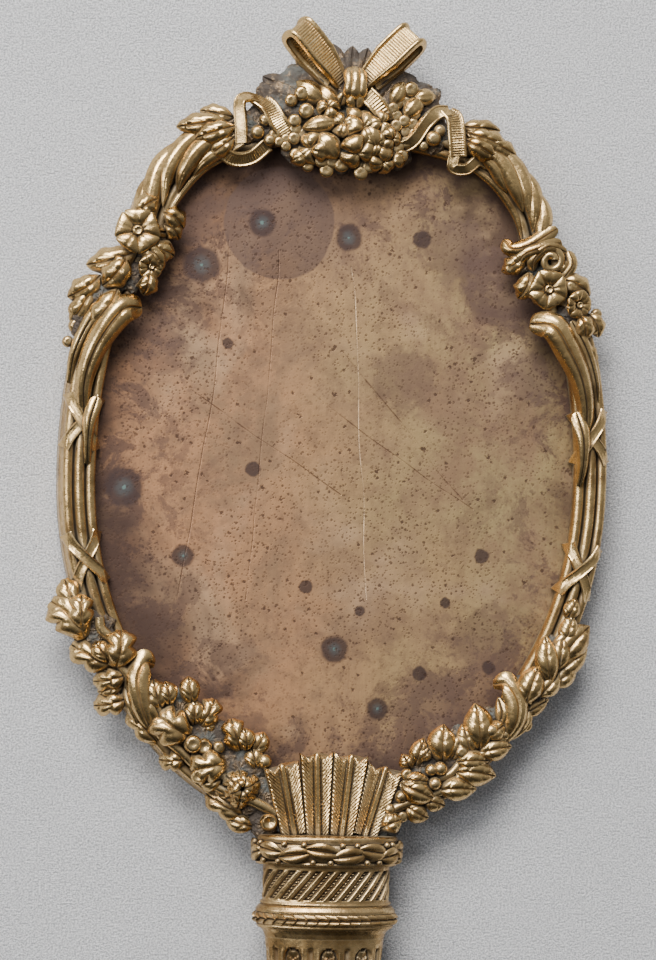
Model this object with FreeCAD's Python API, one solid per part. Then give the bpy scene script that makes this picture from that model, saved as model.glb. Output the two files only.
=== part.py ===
"""Hand mirror in cast and gilt bronze: an oval rim with applied garlands and a ribbon bow, on a handle shaped as a quiver.

Millimetres. The mirror lies on its glass side: +Z is the ornamented side, +Y runs up the head, X = 0 is the middle.
While it is drawn, Y = 0 is the quiver's mouth; the parts are moved at the end so that the origin is the middle of
the footprint. One STEP file per piece goes to parts/.
"""

import FreeCAD, Part
import math
import os

V = FreeCAD.Vector

# ---- driving dimensions -------------------------------------------------------------------------------------------
# Right half of the rim's centreline, from the top of the head down to the handle: (turn in degrees, radius).
# A negative turn is clockwise. The last radius closes the outline on X = 0.
RIM_TOP_Y = 170.5
RIM_ARCS = [(-14, 112.0), (-69, 27.0), (28, 18.0), (-25, 57.0), (-12, 150.0), (-42, 93.0)]

BEZEL_THICK = 1.4          # flat ring on the glass side, Z = 0 is the face that the mirror lies on
RIM_HALF = 3.95            # half width of the reeded top
RIM_FOOT_HALF = 4.6        # half width at the foot of the rim
REBATE_HALF = 1.4          # rebate wall, this far inside the centreline
SIGHT_HALF = 3.75          # edge of the visible panel, this far inside the centreline
LEDGE_Z = 6.0              # underside of the ledge that the panel bears on
SHOULDER_Z = 9.3           # where the reeds spring from
REED_Z = 10.67             # top of the two outer reeds
CREST_Z = 11.5             # crest of the middle reed

RIM_ROOM = 0.35            # applied castings stay this far off the rim's flanks and bear on its middle reed
SLIP = 0.2                 # how much smaller a loose plate is than its rebate, all round
PANEL_THICK = 0.8
CARD_THICK = 1.0
GLASS_FACE_Z = 0.7         # flat middle of the looking glass
GLASS_BEVEL_HALF = 10.0    # the bevel ends this far inside the centreline
BEZEL_INNER_HALF = 4.4
SCREW_R = 0.8
SCREW_HEAD_R = 1.5
SCREW_LINE = 1.6           # screws stand this far outside the centreline

HANDLE_Z = 10.4            # height of the handle's axis
FLATNESS = 0.56            # the handle's thickness over its width
LIP_HALF = 17.0            # half widths of the quiver, from the mouth down
WREATH_HALF = 18.0
DRUM_HALF = 15.3
ROPE_HALF = 17.5
NECK_HALF = 15.6
SHAFT_TOP_HALF = 14.4
SHAFT_END_HALF = 10.2
MOUTH_Y = 0.8
WREATH_TOP_Y, WREATH_END_Y = -0.8, -5.2
DRUM_TOP_Y, DRUM_END_Y = -6.3, -15.0
ROPE_TOP_Y, ROPE_END_Y = -17.5, -20.5
SHAFT_TOP_Y, SHAFT_END_Y = -23.5, -102.0
CALYX_TOP_Y, FINIAL_TOP_Y, FINIAL_END_Y = -105.5, -116.0, -130.0
ROD_R = 2.0
ROD_GAP = 0.05
ROD_TOP_Y, ROD_END_Y = -4.0, -121.0
TENON_HALF_X, TENON_HALF_Z, TENON_END_Y = 6.0, 3.0, -17.0
FLUTES = 8

LEAF_THICK = 1.3
STEM_R = 1.8
STEM_Z = 12.4
FRAGMENT_MM3 = 12.0        # pieces smaller than this, cut off by a neighbour, are dropped

# ---- the plan of the applied ornament -----------------------------------------------------------------------------
# Leaves are (base x, base y, tip x, tip y, width, base z, tip z). Berries are (x, y, z, radius).
LEFT_OAK_SPRAY = [
    (-59.5, 46.5, -64, 61, 8.4, 9.5, 11), (-53, 40, -62.5, 44.5, 6, 10, 9.5), (-52, 40.5, -51.5, 49, 6.5, 11.5, 12.5),
    (-50, 37.5, -56.5, 36.5, 4.4, 10.5, 9.5), (-49, 32, -56.5, 31, 5, 10, 8.5),
]
LEFT_OAK_GARLAND = [
    (-41, 21, -48, 29, 5, 10, 9), (-41, 30, -43, 37.5, 4.6, 11.5, 12), (-34.5, 23, -42, 27.5, 9, 11.5, 12.5),
    (-32, 27, -35, 37.5, 5, 9, 11.5), (-33, 25.5, -29, 32.5, 5.5, 9.5, 11), (-34, 17, -40.5, 18.5, 4.6, 9.5, 8.5),
    (-25, 16, -33.8, 15.5, 7.5, 11, 12.5), (-21, 19, -23.5, 27.5, 5.5, 9, 12), (-19.5, 19.5, -16.5, 24.8, 4, 8.5, 10),
    (-22.5, 3, -29, 10.5, 4.6, 8.5, 9), (-17.5, 2, -24, 4, 4, 9, 8.5),
]
LEFT_OAK_BERRIES = [(-33.5, 22, 13, 2.1), (-30.8, 21.3, 12, 1.8), (-15, 4, 11.5, 2.0), (-16.6, 18.8, 10.5, 1.9)]
ROSETTE = (-21.5, 11.5, 14.2, 4.6)
RIGHT_LAUREL_SPRAY = [
    (57, 53, 58.7, 58.5, 3.4, 10, 10.5), (54.5, 38.5, 62.5, 51.5, 8.5, 9, 10), (52, 37.5, 52, 50.5, 5.6, 12, 12.5),
    (46.5, 32.5, 49, 42, 5.6, 12, 12.8),
]
RIGHT_LAUREL_GARLAND = [
    (47, 30, 54, 34.5, 3.6, 9, 8.5), (36, 21.5, 35, 33, 6.8, 11, 12.5), (27, 18.5, 28, 27, 6.5, 10, 11.5),
    (35.5, 21, 44, 22.5, 5, 11, 11), (30, 16.5, 40.8, 15.5, 6, 11.5, 10.5), (20, 17, 22, 24, 3.8, 9.5, 11),
    (20, 17.5, 17.6, 20.5, 3.4, 9.5, 10), (17, 13, 25.3, 9.3, 5, 12, 12.5), (26, 12, 35.8, 12.3, 5.2, 11, 11),
    (18, 6.5, 24, 4.8, 4.4, 10.5, 9.5), (12.5, 2, 17.5, 4.3, 4.2, 12, 11),
]
RIGHT_BERRIES = [
    (48, 28, 9.5, 1.8), (38.5, 26.5, 12.5, 1.8), (32, 21, 12, 1.6), (27.5, 16.5, 13, 1.7), (24.3, 16, 12.6, 1.3),
    (25.6, 13, 13, 1.8), (18.8, 15, 12, 1.6), (17.5, 10, 12, 1.6), (15.2, 7, 12.2, 1.4), (18, 5.2, 11, 1.4),
]
LEFT_SHOULDER_LEAVES = [
    (-51.4, 139.3, -61.5, 135.2, 5, 11.3, 9.9), (-52.3, 137.1, -57.2, 130.3, 5, 12.7, 12.1),
    (-57.6, 132.1, -65.3, 127.1, 4.8, 10.9, 9.3), (-56.1, 130.6, -61.4, 122.2, 4.4, 11.9, 12.3),
]
LEFT_SHOULDER_BERRIES = [(-64.1, 123.4, 10.1, 1.7), (-64.6, 118.8, 9.7, 1.6)]
LEFT_FLOWERS = [(-50, 143, 13.6, 5.2), (-46.6, 136.6, 12.6, 3.2)]
RIGHT_SHOULDER_LEAVES = [
    (44, 137.5, 44, 131, 4, 11, 10.5), (43, 141, 40.6, 137, 3.4, 11, 10), (53, 134.5, 60.5, 130.5, 4.4, 11, 9.5),
    (56, 128, 59, 121.5, 4, 12, 11), (58.5, 127, 61.5, 122, 3.6, 10, 9), (59.5, 120, 61, 115.5, 3, 9.5, 9),
]
RIGHT_SHOULDER_BERRIES = [(61.5, 124, 9.5, 1.5), (60.5, 118, 9.5, 1.4)]
RIGHT_FLOWERS = [(50, 133.5, 13.8, 4.4), (57, 129.5, 12.4, 3.5)]
LEFT_CREST_LEAVES = [
    (-28, 170.5, -35, 172.8, 4, 10.5, 10), (-31, 168.5, -41, 168.8, 4.6, 12, 10.5), (-29.5, 171, -33, 164, 4.4, 13, 13),
]
RIGHT_CREST_LEAVES = [
    (27.5, 172, 36, 171.3, 3.4, 10.5, 10), (30, 170.5, 40.3, 166.5, 4.6, 12, 10.5), (29, 167, 35, 163.5, 4, 12.8, 12.4),
]
# Long leaves that lie on the rim: (side, Y where they start, Y where they end, offset across the rim, width).
LEFT_SHEATH = [(-1, 166, 147, 1.4, 5.2), (-1, 163, 146, -1.8, 4.0)]
RIGHT_SHEATH = [(1, 164, 147, 1.4, 5.2), (1, 162, 146, -1.8, 4.0)]
LEFT_TONGUE = [(-1, 108, 126, 0.8, 4.6), (-1, 104, 118, -1.8, 3.8)]
RIGHT_TONGUE = [(1, 107, 125, 0.8, 4.6), (1, 103, 117, -1.8, 3.8)]
# Ribbons bound round the reeds: (side, Y of the crossing).
UPPER_BINDING_Y = 99.0
LOWER_BINDING_Y = 67.5
# Blossoms and fruit of the crest cluster: (x, y, z, radius).
CLUSTER = [
    (-7.5, 171, 14, 3.2), (-4, 164.8, 14.5, 3.4), (-2, 171, 14.5, 2.4), (1.5, 165.5, 14.6, 3.4), (3, 161.6, 13.5, 2.2),
    (-4, 161.6, 13, 2.0), (-8.8, 166, 13.5, 2.9), (7, 171.6, 14.5, 2.2), (9.6, 172.6, 14, 2.0), (10, 168.6, 14, 2.2),
    (15.5, 171.6, 13, 2.0), (12.5, 174, 13, 1.9), (14, 176.4, 12, 2.0), (8.5, 165.6, 14, 2.2), (7.2, 162, 13, 2.1),
    (-13, 172.6, 13, 1.6), (-13, 176.6, 12.5, 1.7), (-10.4, 177.6, 12.5, 2.0), (-10, 174, 13.4, 2.1),
    (-12.4, 169.4, 13.4, 1.9), (-0.6, 161.6, 13, 1.9), (4.6, 169.6, 14.6, 2.5), (12.6, 170, 13.6, 1.9),
    (4.8, 173.2, 13.8, 2.0), (-5, 168, 14.4, 2.4), (-15.6, 168.4, 12.8, 1.6),
]
RIBBON_BERRIES = {-1: [(-21.2, 169.5, 13, 1.7), (-18, 167.6, 12.8, 1.4)], 1: [(20, 168.8, 12.8, 2.1), (23, 170.6, 12.6, 1.7)]}


# ---- small helpers ------------------------------------------------------------------------------------------------
def frame_of(origin, along, normal_hint):
    """A placement whose X runs along a direction and whose Z is as near the hint as that allows."""
    x = V(along).normalize()
    y = normal_hint.cross(x).normalize()
    z = x.cross(y)
    return FreeCAD.Placement(FreeCAD.Matrix(x.x, y.x, z.x, origin.x, x.y, y.y, z.y, origin.y, x.z, y.z, z.z, origin.z))


def placed(shape, placement):
    moved = shape.copy()
    moved.Placement = placement.multiply(moved.Placement)
    return moved


def face_of(edges):
    return Part.Face(Part.Wire(edges))


def polygon(points):
    return face_of([Part.makeLine(a, b) for a, b in zip(points, points[1:] + points[:1])])


def box(x0, x1, y0, y1, z0, z1):
    return Part.makeBox(x1 - x0, y1 - y0, z1 - z0, V(x0, y0, z0))


def fused(shapes):
    return shapes[0] if len(shapes) == 1 else shapes[0].multiFuse(shapes[1:])


def sound_solids(shape):
    """The shape's solids that are worth keeping."""
    return [s for s in shape.Solids if s.Volume > FRAGMENT_MM3]


# ---- the rim's centreline -----------------------------------------------------------------------------------------
def half_path():
    """Arcs of the right half as (centre, radius, start angle, turn, sign); sign is -1 where the rim turns clockwise."""
    x, y, heading, arcs = 0.0, RIM_TOP_Y, 0.0, []
    for turn, radius in RIM_ARCS + [(None, None)]:
        if turn is None:
            turn = -180 - math.degrees(heading)
            radius = x / abs(math.sin(heading))
        sign = 1 if turn > 0 else -1
        centre = V(x - sign * radius * math.sin(heading), y + sign * radius * math.cos(heading), 0)
        start = heading - sign * math.pi / 2
        arcs.append((centre, radius, start, math.radians(turn), sign))
        heading += math.radians(turn)
        end = heading - sign * math.pi / 2
        x, y = centre.x + radius * math.cos(end), centre.y + radius * math.sin(end)
    return arcs


def point_on(arc, share, out):
    """A point of an arc at a share of its turn, moved outward from the centreline."""
    centre, radius, start, turn, sign = arc
    angle = start + turn * share
    reach = radius - sign * out
    return V(centre.x + reach * math.cos(angle), centre.y + reach * math.sin(angle), 0)


def outline_face(out):
    """The flat face inside the centreline moved outward by a distance (negative is inward)."""
    right = [[point_on(a, s, out) for s in (0, 0.5, 1)] for a in half_path()]
    left = [[V(-p.x, p.y, 0) for p in reversed(three)] for three in reversed(right)]
    return face_of([Part.Arc(*three).toShape() for three in right + left])


def plate(out, z0, z1):
    solid = outline_face(out).extrude(V(0, 0, z1 - z0))
    solid.translate(V(0, 0, z0))
    return solid


def rim_sweep(section_edges):
    """Carries a section, drawn in (outward, Z), all the way round the rim."""
    pieces = []
    for arc in half_path():
        centre, radius, start, turn, sign = arc
        out_axis = V(math.cos(start), math.sin(start), 0) * (-sign)
        edges = []
        for points in section_edges:
            real = [V(centre.x, centre.y, 0) + out_axis * (o - sign * radius) + V(0, 0, z) for o, z in points]
            edges.append(Part.makeLine(*real) if len(real) == 2 else Part.Arc(*real).toShape())
        piece = face_of(edges).revolve(V(centre.x, centre.y, 0), V(0, 0, 1), math.degrees(turn))
        pieces += [piece, piece.mirror(V(0, 0, 0), V(1, 0, 0))]
    ring = fused([Part.Solid(p) if p.ShapeType == "Shell" else p for p in pieces])
    return ring.removeSplitter()


def section(points):
    """Straight edges through points, closed."""
    return [(a, b) for a, b in zip(points, points[1:] + points[:1])]


def rim_at(side, y, out=0.0):
    """The point of the rim's centreline at a height Y on one side, with its direction of travel down the rim."""
    best = None
    for arc in half_path():
        for i in range(101):
            p = point_on(arc, i / 100, 0)
            if best is None or abs(p.y - y) < abs(best[0].y - y):
                best = (p, arc, i / 100)
    _, arc, share = best
    p = point_on(arc, share, out)
    ahead = point_on(arc, share + 0.01, out) - p
    return V(side * p.x, p.y, 0), V(side * ahead.x, ahead.y, 0).normalize()


# ---- head ---------------------------------------------------------------------------------------------------------
def rim_frame():
    sides = []
    for k in (1, -1):
        middle_reed = (k * 1.15, CREST_Z - 1.0)
        valley, outer_reed = (k * 1.35, SHOULDER_Z + 0.5), (k * 1.6, SHOULDER_Z + 1.0)
        shoulder = (k * RIM_HALF, SHOULDER_Z)
        sides.append([(shoulder, (k * 3.15, REED_Z), outer_reed), (outer_reed, valley), (valley, middle_reed)])
    outer, inner = sides
    profile = [
        ((-REBATE_HALF, BEZEL_THICK), (RIM_FOOT_HALF, BEZEL_THICK)),
        ((RIM_FOOT_HALF, BEZEL_THICK), (RIM_FOOT_HALF, BEZEL_THICK + 1.6)),
        ((RIM_FOOT_HALF, BEZEL_THICK + 1.6), (RIM_HALF, SHOULDER_Z)),
        *outer,
        ((1.15, CREST_Z - 1.0), (0, CREST_Z), (-1.15, CREST_Z - 1.0)),
        *[tuple(reversed(edge)) for edge in reversed(inner)],
        ((-RIM_HALF, SHOULDER_Z), (-SIGHT_HALF, LEDGE_Z)),
        ((-SIGHT_HALF, LEDGE_Z), (-REBATE_HALF, LEDGE_Z)),
        ((-REBATE_HALF, LEDGE_Z), (-REBATE_HALF, BEZEL_THICK)),
    ]
    ring = rim_sweep(profile)
    bottom = rim_at(1, -99)[0].y
    root = box(-TENON_HALF_X, TENON_HALF_X, -3.0, bottom, 2.5, 10.5)
    tenon = box(-TENON_HALF_X, TENON_HALF_X, TENON_END_Y, 0.0, HANDLE_Z - TENON_HALF_Z, HANDLE_Z + TENON_HALF_Z)
    casting = fused([ring, root.cut(plate(-REBATE_HALF, 0, 20)), tenon])
    hole = Part.makeCylinder(ROD_R + ROD_GAP, 14.0, V(0, TENON_END_Y, HANDLE_Z), V(0, 1, 0))
    casting = casting.cut(hole)
    return casting.cut(fused(screw_shanks(ROD_GAP)))


def rim_room():
    """The plain ring of space that the rim takes up; the applied castings are cut to sit on it."""
    half = RIM_HALF + RIM_ROOM
    return plate(half, 0, CREST_Z + 0.01).cut(plate(-half, 0, CREST_Z + 0.01))


def screw_places():
    """Where the bezel's screws stand: pairs down the sides, one at the top and none behind the handle."""
    places = [rim_at(1, y, SCREW_LINE)[0] for y in (163, 128, 92, 58, 26)]
    return [V(0, RIM_TOP_Y + SCREW_LINE, 0)] + places + [V(-p.x, p.y, 0) for p in places]


def screw_shanks(gap):
    return [Part.makeCylinder(SCREW_R + gap, 4.5, p) for p in screw_places()]


def back_panel():
    return plate(-REBATE_HALF - SLIP, LEDGE_Z - PANEL_THICK, LEDGE_Z)


def backing_card():
    top = LEDGE_Z - PANEL_THICK
    return plate(-REBATE_HALF - SLIP, top - CARD_THICK, top)


def looking_glass():
    top = LEDGE_Z - PANEL_THICK - CARD_THICK
    edge, rest, flat = REBATE_HALF + SLIP, BEZEL_INNER_HALF, GLASS_BEVEL_HALF
    rise = (BEZEL_THICK - GLASS_FACE_Z) / (flat - rest)
    bevel = rim_sweep(section([
        (-flat, GLASS_FACE_Z), (-flat, top), (-edge, top), (-edge, GLASS_FACE_Z + rise * (flat - edge)),
    ]))
    return fused([plate(-flat, GLASS_FACE_Z, top), bevel]).removeSplitter()


def glass_bezel():
    ring = rim_sweep(section([
        (-BEZEL_INNER_HALF, 0.5), (-BEZEL_INNER_HALF, BEZEL_THICK), (RIM_FOOT_HALF, BEZEL_THICK),
        (RIM_FOOT_HALF, 0.3), (RIM_FOOT_HALF - 0.3, 0), (0.5 - BEZEL_INNER_HALF, 0),
    ]))
    for p in screw_places():
        seat = Part.makeCone(SCREW_HEAD_R + 0.05, SCREW_R + 0.05, 0.8, p)
        ring = ring.cut(fused([seat, Part.makeCylinder(SCREW_R + 0.05, BEZEL_THICK, p)]))
    return ring


def bezel_screws():
    screws = []
    for p in screw_places():
        head = Part.makeCone(SCREW_HEAD_R, SCREW_R, 0.8, p)
        screw = fused([head, Part.makeCylinder(SCREW_R, 4.4, p)]).removeSplitter()
        screws.append(screw.cut(box(p.x - 2, p.x + 2, p.y - 0.2, p.y + 0.2, 0, 0.35)))
    return Part.makeCompound(screws)


# ---- applied ornament ---------------------------------------------------------------------------------------------
def blade(base_x, base_y, tip_x, tip_y, width, base_z, tip_z, thick=LEAF_THICK):
    """A pointed oval leaf, a flat plate with its top face on the line from base to tip."""
    base, tip = V(base_x, base_y, base_z), V(tip_x, tip_y, tip_z)
    length = (tip - base).Length
    edges = [
        Part.Arc(V(0, 0, 0), V(length * 0.5, width / 2, 0), V(length, 0, 0)).toShape(),
        Part.Arc(V(length, 0, 0), V(length * 0.5, -width / 2, 0), V(0, 0, 0)).toShape(),
    ]
    leaf = face_of(edges).extrude(V(0, 0, -thick))
    return placed(leaf, frame_of(base, tip - base, V(0, 0, 1)))


def leaf_point(leaf, share):
    """A point on the middle line of a leaf, at a share of its length."""
    base_x, base_y, tip_x, tip_y, _, base_z, tip_z = leaf
    base, tip = V(base_x, base_y, base_z), V(tip_x, tip_y, tip_z)
    return base + (tip - base) * share


def ball(x, y, z, radius):
    """A berry or a small blossom as a round button with a sloping top."""
    side = Part.makeCylinder(radius, 1.2 * radius, V(x, y, z - 0.9 * radius))
    top = Part.makeCone(radius, 0.45 * radius, 0.6 * radius, V(x, y, z + 0.3 * radius))
    return side.fuse(top)


def stalk(points, radius):
    """A round stem through points."""
    rods = []
    for a, b in zip(points, points[1:]):
        a, b = V(*a), V(*b)
        rods += [Part.makeCylinder(radius, (b - a).Length, a, b - a), Part.makeCylinder(radius, 2 * radius, b - V(0, 0, radius))]
    return rods


def flower(x, y, z, radius):
    """Five round petals about a button."""
    petals = []
    for k in range(5):
        angle = math.radians(90 + 72 * k)
        reach = radius * 0.6
        middle = V(x + reach * math.cos(angle), y + reach * math.sin(angle), z - 1.4)
        petals.append(Part.makeCylinder(radius * 0.42, 1.4, middle))
    return petals + [Part.makeCylinder(radius * 0.35, 5.4, V(x, y, z - 5.0))]


def flower_pair(flowers):
    """Two flowers on one casting, joined by a stalk under their petals."""
    feet = [(x, y, z - 2.0) for x, y, z, radius in flowers]
    return fused([piece for one in flowers for piece in flower(*one)] + stalk(feet, 1.2))


def spray(side, y0, y1, leaves, berries=(), extra=()):
    """Leaves and berries on one casting: each is joined by its own stalk to a stem that lies along the rim."""
    steps = 6
    spots = [rim_at(side, y0 + (y1 - y0) * i / steps)[0] + V(0, 0, STEM_Z) for i in range(steps + 1)]
    parts = stalk([tuple(p) for p in spots], STEM_R) + list(extra)
    for foot, radius in [(leaf_point(leaf, 0.3), 1.0) for leaf in leaves] + [(V(*b[:3]), 0.8) for b in berries]:
        nearest = min(spots, key=lambda spot: (spot - foot).Length)
        parts.append(Part.makeCylinder(radius, (nearest - foot).Length, foot, nearest - foot))
    parts += [blade(*leaf) for leaf in leaves] + [ball(*berry) for berry in berries]
    return fused(parts)


def lying_leaf(side, y0, y1, out, width):
    """A long leaf that lies on the rim's reeds between two heights, in short straight blades."""
    steps, parts = 4, []
    spots = [rim_at(side, y0 + (y1 - y0) * i / steps, out)[0] for i in range(steps + 1)]
    for a, b in zip(spots, spots[1:]):
        run = b - a
        slab = Part.makeBox(run.Length + 1.2, width, 2.4, V(-0.6, -width / 2, -2.4))
        parts.append(placed(slab, frame_of(V(a.x, a.y, CREST_Z + 0.9), run, V(0, 0, 1))))
    return parts


def binding(side, y):
    """Two flat ribbons crossed over the reeds."""
    strips = []
    for lean in (-1, 1):
        p, along = rim_at(side, y)
        across = V(-along.y, along.x, 0)
        direction = along * 10.0 + across * (lean * 7.0)
        slab = Part.makeBox(direction.Length, 3.2, 3.4, V(-direction.Length / 2, -1.6, 0))
        strips.append(placed(slab, frame_of(V(p.x, p.y, SHOULDER_Z), direction, V(0, 0, 1))))
    return fused(strips)


def bow_loop(side):
    """One loop of the bow: a ribbon bent back on itself, seen a little from its edge."""
    knot, end = V(side * 3.0, 182.0, 10.0), V(side * 15.0, 195.0, 11.5)
    length, thick, width = (end - knot).Length, 5.0, 6.6
    outer = Part.makeBox(length, width, thick, V(0, -width / 2, -thick / 2))
    outer = fused([outer, Part.makeCylinder(thick / 2, width, V(length, -width / 2, 0), V(0, 1, 0))])
    inner = Part.makeBox(length - 3.0, width, thick - 2.4, V(3.0, -width / 2, 1.2 - thick / 2))
    inner = fused([inner, Part.makeCylinder(thick / 2 - 1.2, width, V(length, -width / 2, 0), V(0, 1, 0))])
    loop = outer.cut(inner)
    return placed(loop, frame_of(knot, end - knot, V(side * 0.35, -0.1, 1)))


def bow_knot():
    pleats = [Part.makeCylinder(1.5, 4.6, V(x, 178.2, 13.6), V(0, 1, 0)) for x in (-1.0, 1.0, 3.0)]
    tail = blade(4.5, 179, 9.5, 173, 4.6, 13.5, 14.8, 1.5)
    tongue = blade(1.5, 179, 1.0, 174.5, 3.4, 13.5, 14.0, 1.5)
    post = Part.makeCylinder(1.6, 6.0, V(1.0, 180.5, 8.4))
    return fused(pleats + [tail, tongue, post])


def crest_ground():
    """The rough leaf-edged plate behind the bow, set against the top of the rim."""
    edge = [
        (-23, 173), (-21, 179.5), (-16.5, 181.5), (-12, 182.5), (-9.5, 186), (-5.5, 190), (-2.5, 187.5), (-0.5, 186.5),
        (2, 190.5), (4.5, 188), (8, 186), (13.5, 185), (14.5, 181.5), (20.5, 180.5), (23, 173), (14, 169), (-14, 169),
    ]
    solid = polygon([V(x, y, 0) for x, y in edge]).extrude(V(0, 0, 2.6))
    solid.translate(V(0, 0, 7.0))
    return solid


def entwined_ribbon(side):
    """The ribbon that winds from the cluster round the top of the rim."""
    runs = [
        ((side * 14, 167.5, 12.6), (side * 22.5, 174.2, 11.6)),
        ((side * 22.5, 175.0, 11.8), (side * 26.5, 164.5, 13.2)),
        ((side * 26, 163.3, 13.0), (side * 32, 164.8, 12.2)),
    ]
    slabs = []
    for (x0, y0, z0), (x1, y1, z1) in runs:
        a, b = V(x0, y0, z0), V(x1, y1, z1)
        slab = Part.makeBox((b - a).Length, 3.8, 1.3, V(0, -1.9, -1.3))
        slabs.append(placed(slab, frame_of(a, b - a, V(0, 0, 1))))
    return fused(slabs + [ball(*berry) for berry in RIBBON_BERRIES[side]])


def strap(side):
    """The rolled strap bound round the rim above each garland."""
    p, along = rim_at(side, 33.0)
    across = V(-along.y, along.x, 0)
    direction = along * 9.0 + across * (-side * 3.5)
    half, width = RIM_FOOT_HALF + 0.9, 4.6
    edge = [(-half, 7.2), (-half, 9.8), (-2.6, CREST_Z + 1.3), (2.6, CREST_Z + 1.3), (half, 9.8), (half, 4.0)]
    band = polygon([V(0, u, z) for u, z in edge]).extrude(V(width, 0, 0))
    band.translate(V(-width / 2, 0, 0))
    end = rim_at(side, 38.0, -3.0)[0]
    curl = Part.makeCylinder(1.9, 5.6, V(end.x, end.y - 3.4, 11.8), V(side * -0.15, 1, 0.1))
    return fused([placed(band, frame_of(V(p.x, p.y, 0), direction, V(0, 0, 1))), curl])


def fletching(base_x, tip_x, tip_y, base_width, tip_width):
    """One arrow fletching: a tapered vane with a notched end and a raised quill."""
    a, b = V(base_x, MOUTH_Y, 0), V(tip_x, tip_y, 0)
    length = (b - a).Length
    w0, w1 = base_width / 2, tip_width / 2
    vane = polygon([
        V(0, -w0, 0), V(length, -w1, 0), V(length - 1.6, -0.5, 0), V(length - 1.6, 0.5, 0), V(length, w1, 0), V(0, w0, 0),
    ]).extrude(V(0, 0, 1.9))
    quill = Part.makeBox(length - 1.2, 1.3, 2.6, V(0, -0.65, 0))
    return placed(fused([vane, quill]), frame_of(V(a.x, a.y, 11.7), V(b.x - a.x, b.y - a.y, 0.4), V(0, 0, 1)))


# ---- handle -------------------------------------------------------------------------------------------------------
def turned(profile):
    """An oval solid from (half width, Y) points: turned round about the handle's axis and then flattened."""
    points = [V(a, y, 0) for a, y in profile]
    points = [V(0, points[0].y, 0)] + points + [V(0, points[-1].y, 0)]
    solid = polygon(points).revolve(V(0, 0, 0), V(0, 1, 0), 360)
    squeeze = FreeCAD.Matrix()
    squeeze.scale(1, 1, FLATNESS)
    solid = solid.transformGeometry(squeeze)
    solid.translate(V(0, 0, HANDLE_Z))
    return solid


def tenon_pocket(y0, y1):
    gap = 0.1
    return box(-TENON_HALF_X - gap, TENON_HALF_X + gap, y1, y0,
               HANDLE_Z - TENON_HALF_Z - gap, HANDLE_Z + TENON_HALF_Z + gap)


def rod_bore(y0, y1):
    return Part.makeCylinder(ROD_R + ROD_GAP, y0 - y1, V(0, y1, HANDLE_Z), V(0, 1, 0))


def quiver_mouth():
    body = turned([
        (LIP_HALF - 0.5, MOUTH_Y), (LIP_HALF, 0.3), (LIP_HALF, WREATH_TOP_Y), (DRUM_HALF, WREATH_TOP_Y),
        (DRUM_HALF, WREATH_END_Y), (LIP_HALF, WREATH_END_Y), (LIP_HALF, -5.9), (LIP_HALF - 0.6, DRUM_TOP_Y),
    ])
    root = box(-TENON_HALF_X - 0.1, TENON_HALF_X + 0.1, -3.1, MOUTH_Y, 2.4, 10.6)
    return body.cut(fused([tenon_pocket(MOUTH_Y, DRUM_TOP_Y), root]))


def half_ring(half, y0, y1, bulge, front):
    """One half, front or back, of an oval ring that sits in a groove."""
    middle = (y0 + y1) / 2
    ring = turned([(half - bulge, y0), (half, y0 - 0.5), (half + 0.1, middle), (half, y1 + 0.5), (half - bulge, y1)])
    ring = ring.cut(turned([(DRUM_HALF, y0), (DRUM_HALF, y1)]))
    reach = 2 * half
    z0, z1 = (HANDLE_Z, HANDLE_Z + reach) if front else (HANDLE_Z - reach, HANDLE_Z)
    return ring.common(box(-reach, reach, y1 - 1, y0 + 1, z0, z1))


def slotted_drum():
    drum = turned([(DRUM_HALF, DRUM_TOP_Y), (DRUM_HALF, DRUM_END_Y)]).cut(tenon_pocket(DRUM_TOP_Y, DRUM_END_Y))
    middle = (DRUM_TOP_Y + DRUM_END_Y) / 2
    slots = []
    for k in range(-4, 5):
        for up in (1, -1):
            slot = Part.makeBox(9.2, 0.9, 1.4, V(-4.6, -0.45, -0.7))
            x = 2.9 * k
            depth = DRUM_HALF * FLATNESS * math.sqrt(1 - (x / DRUM_HALF) ** 2)
            slots.append(placed(slot, frame_of(V(x, middle, HANDLE_Z + up * depth), V(1, 1, 0), V(0, 0, 1))))
    return drum.cut(fused(slots))


def lower_moulding():
    body = turned([
        (DRUM_HALF + 0.4, DRUM_END_Y), (DRUM_HALF + 0.6, -15.8), (ROPE_HALF - 0.6, ROPE_TOP_Y + 0.6),
        (ROPE_HALF - 0.6, ROPE_TOP_Y), (DRUM_HALF, ROPE_TOP_Y), (DRUM_HALF, ROPE_END_Y), (ROPE_HALF - 1.1, ROPE_END_Y),
        (ROPE_HALF - 1.3, ROPE_END_Y - 0.9), (NECK_HALF, ROPE_END_Y - 1.1), (NECK_HALF - 0.6, SHAFT_TOP_Y),
    ])
    return body.cut(fused([tenon_pocket(DRUM_END_Y, TENON_END_Y - 0.2), rod_bore(DRUM_END_Y, SHAFT_TOP_Y)]))


def shaft_half(y):
    share = (SHAFT_TOP_Y - y) / (SHAFT_TOP_Y - SHAFT_END_Y)
    return SHAFT_TOP_HALF + (SHAFT_END_HALF - SHAFT_TOP_HALF) * share


def fluted_shaft():
    shaft = turned([(SHAFT_TOP_HALF, SHAFT_TOP_Y), (SHAFT_END_HALF, SHAFT_END_Y)])
    shaft = shaft.cut(rod_bore(SHAFT_TOP_Y, SHAFT_END_Y))
    top, end = SHAFT_TOP_Y - 3.0, SHAFT_END_Y + 4.0
    cutters = []
    for k in range(2 * FLUTES):
        angle = math.radians(90 + 180 * k / FLUTES)
        wide = k % 2 == 0
        radius = 1.9 if wide else 0.6
        spots = []
        for y in (top, end):
            half = shaft_half(y)
            spots.append(V(half * math.cos(angle), y, HANDLE_Z + half * FLATNESS * math.sin(angle)))
        run = spots[1] - spots[0]
        cutters.append(Part.makeCone(radius, radius * 0.7, run.Length, spots[0], run))
    return shaft.cut(Part.makeCompound(cutters))


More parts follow.
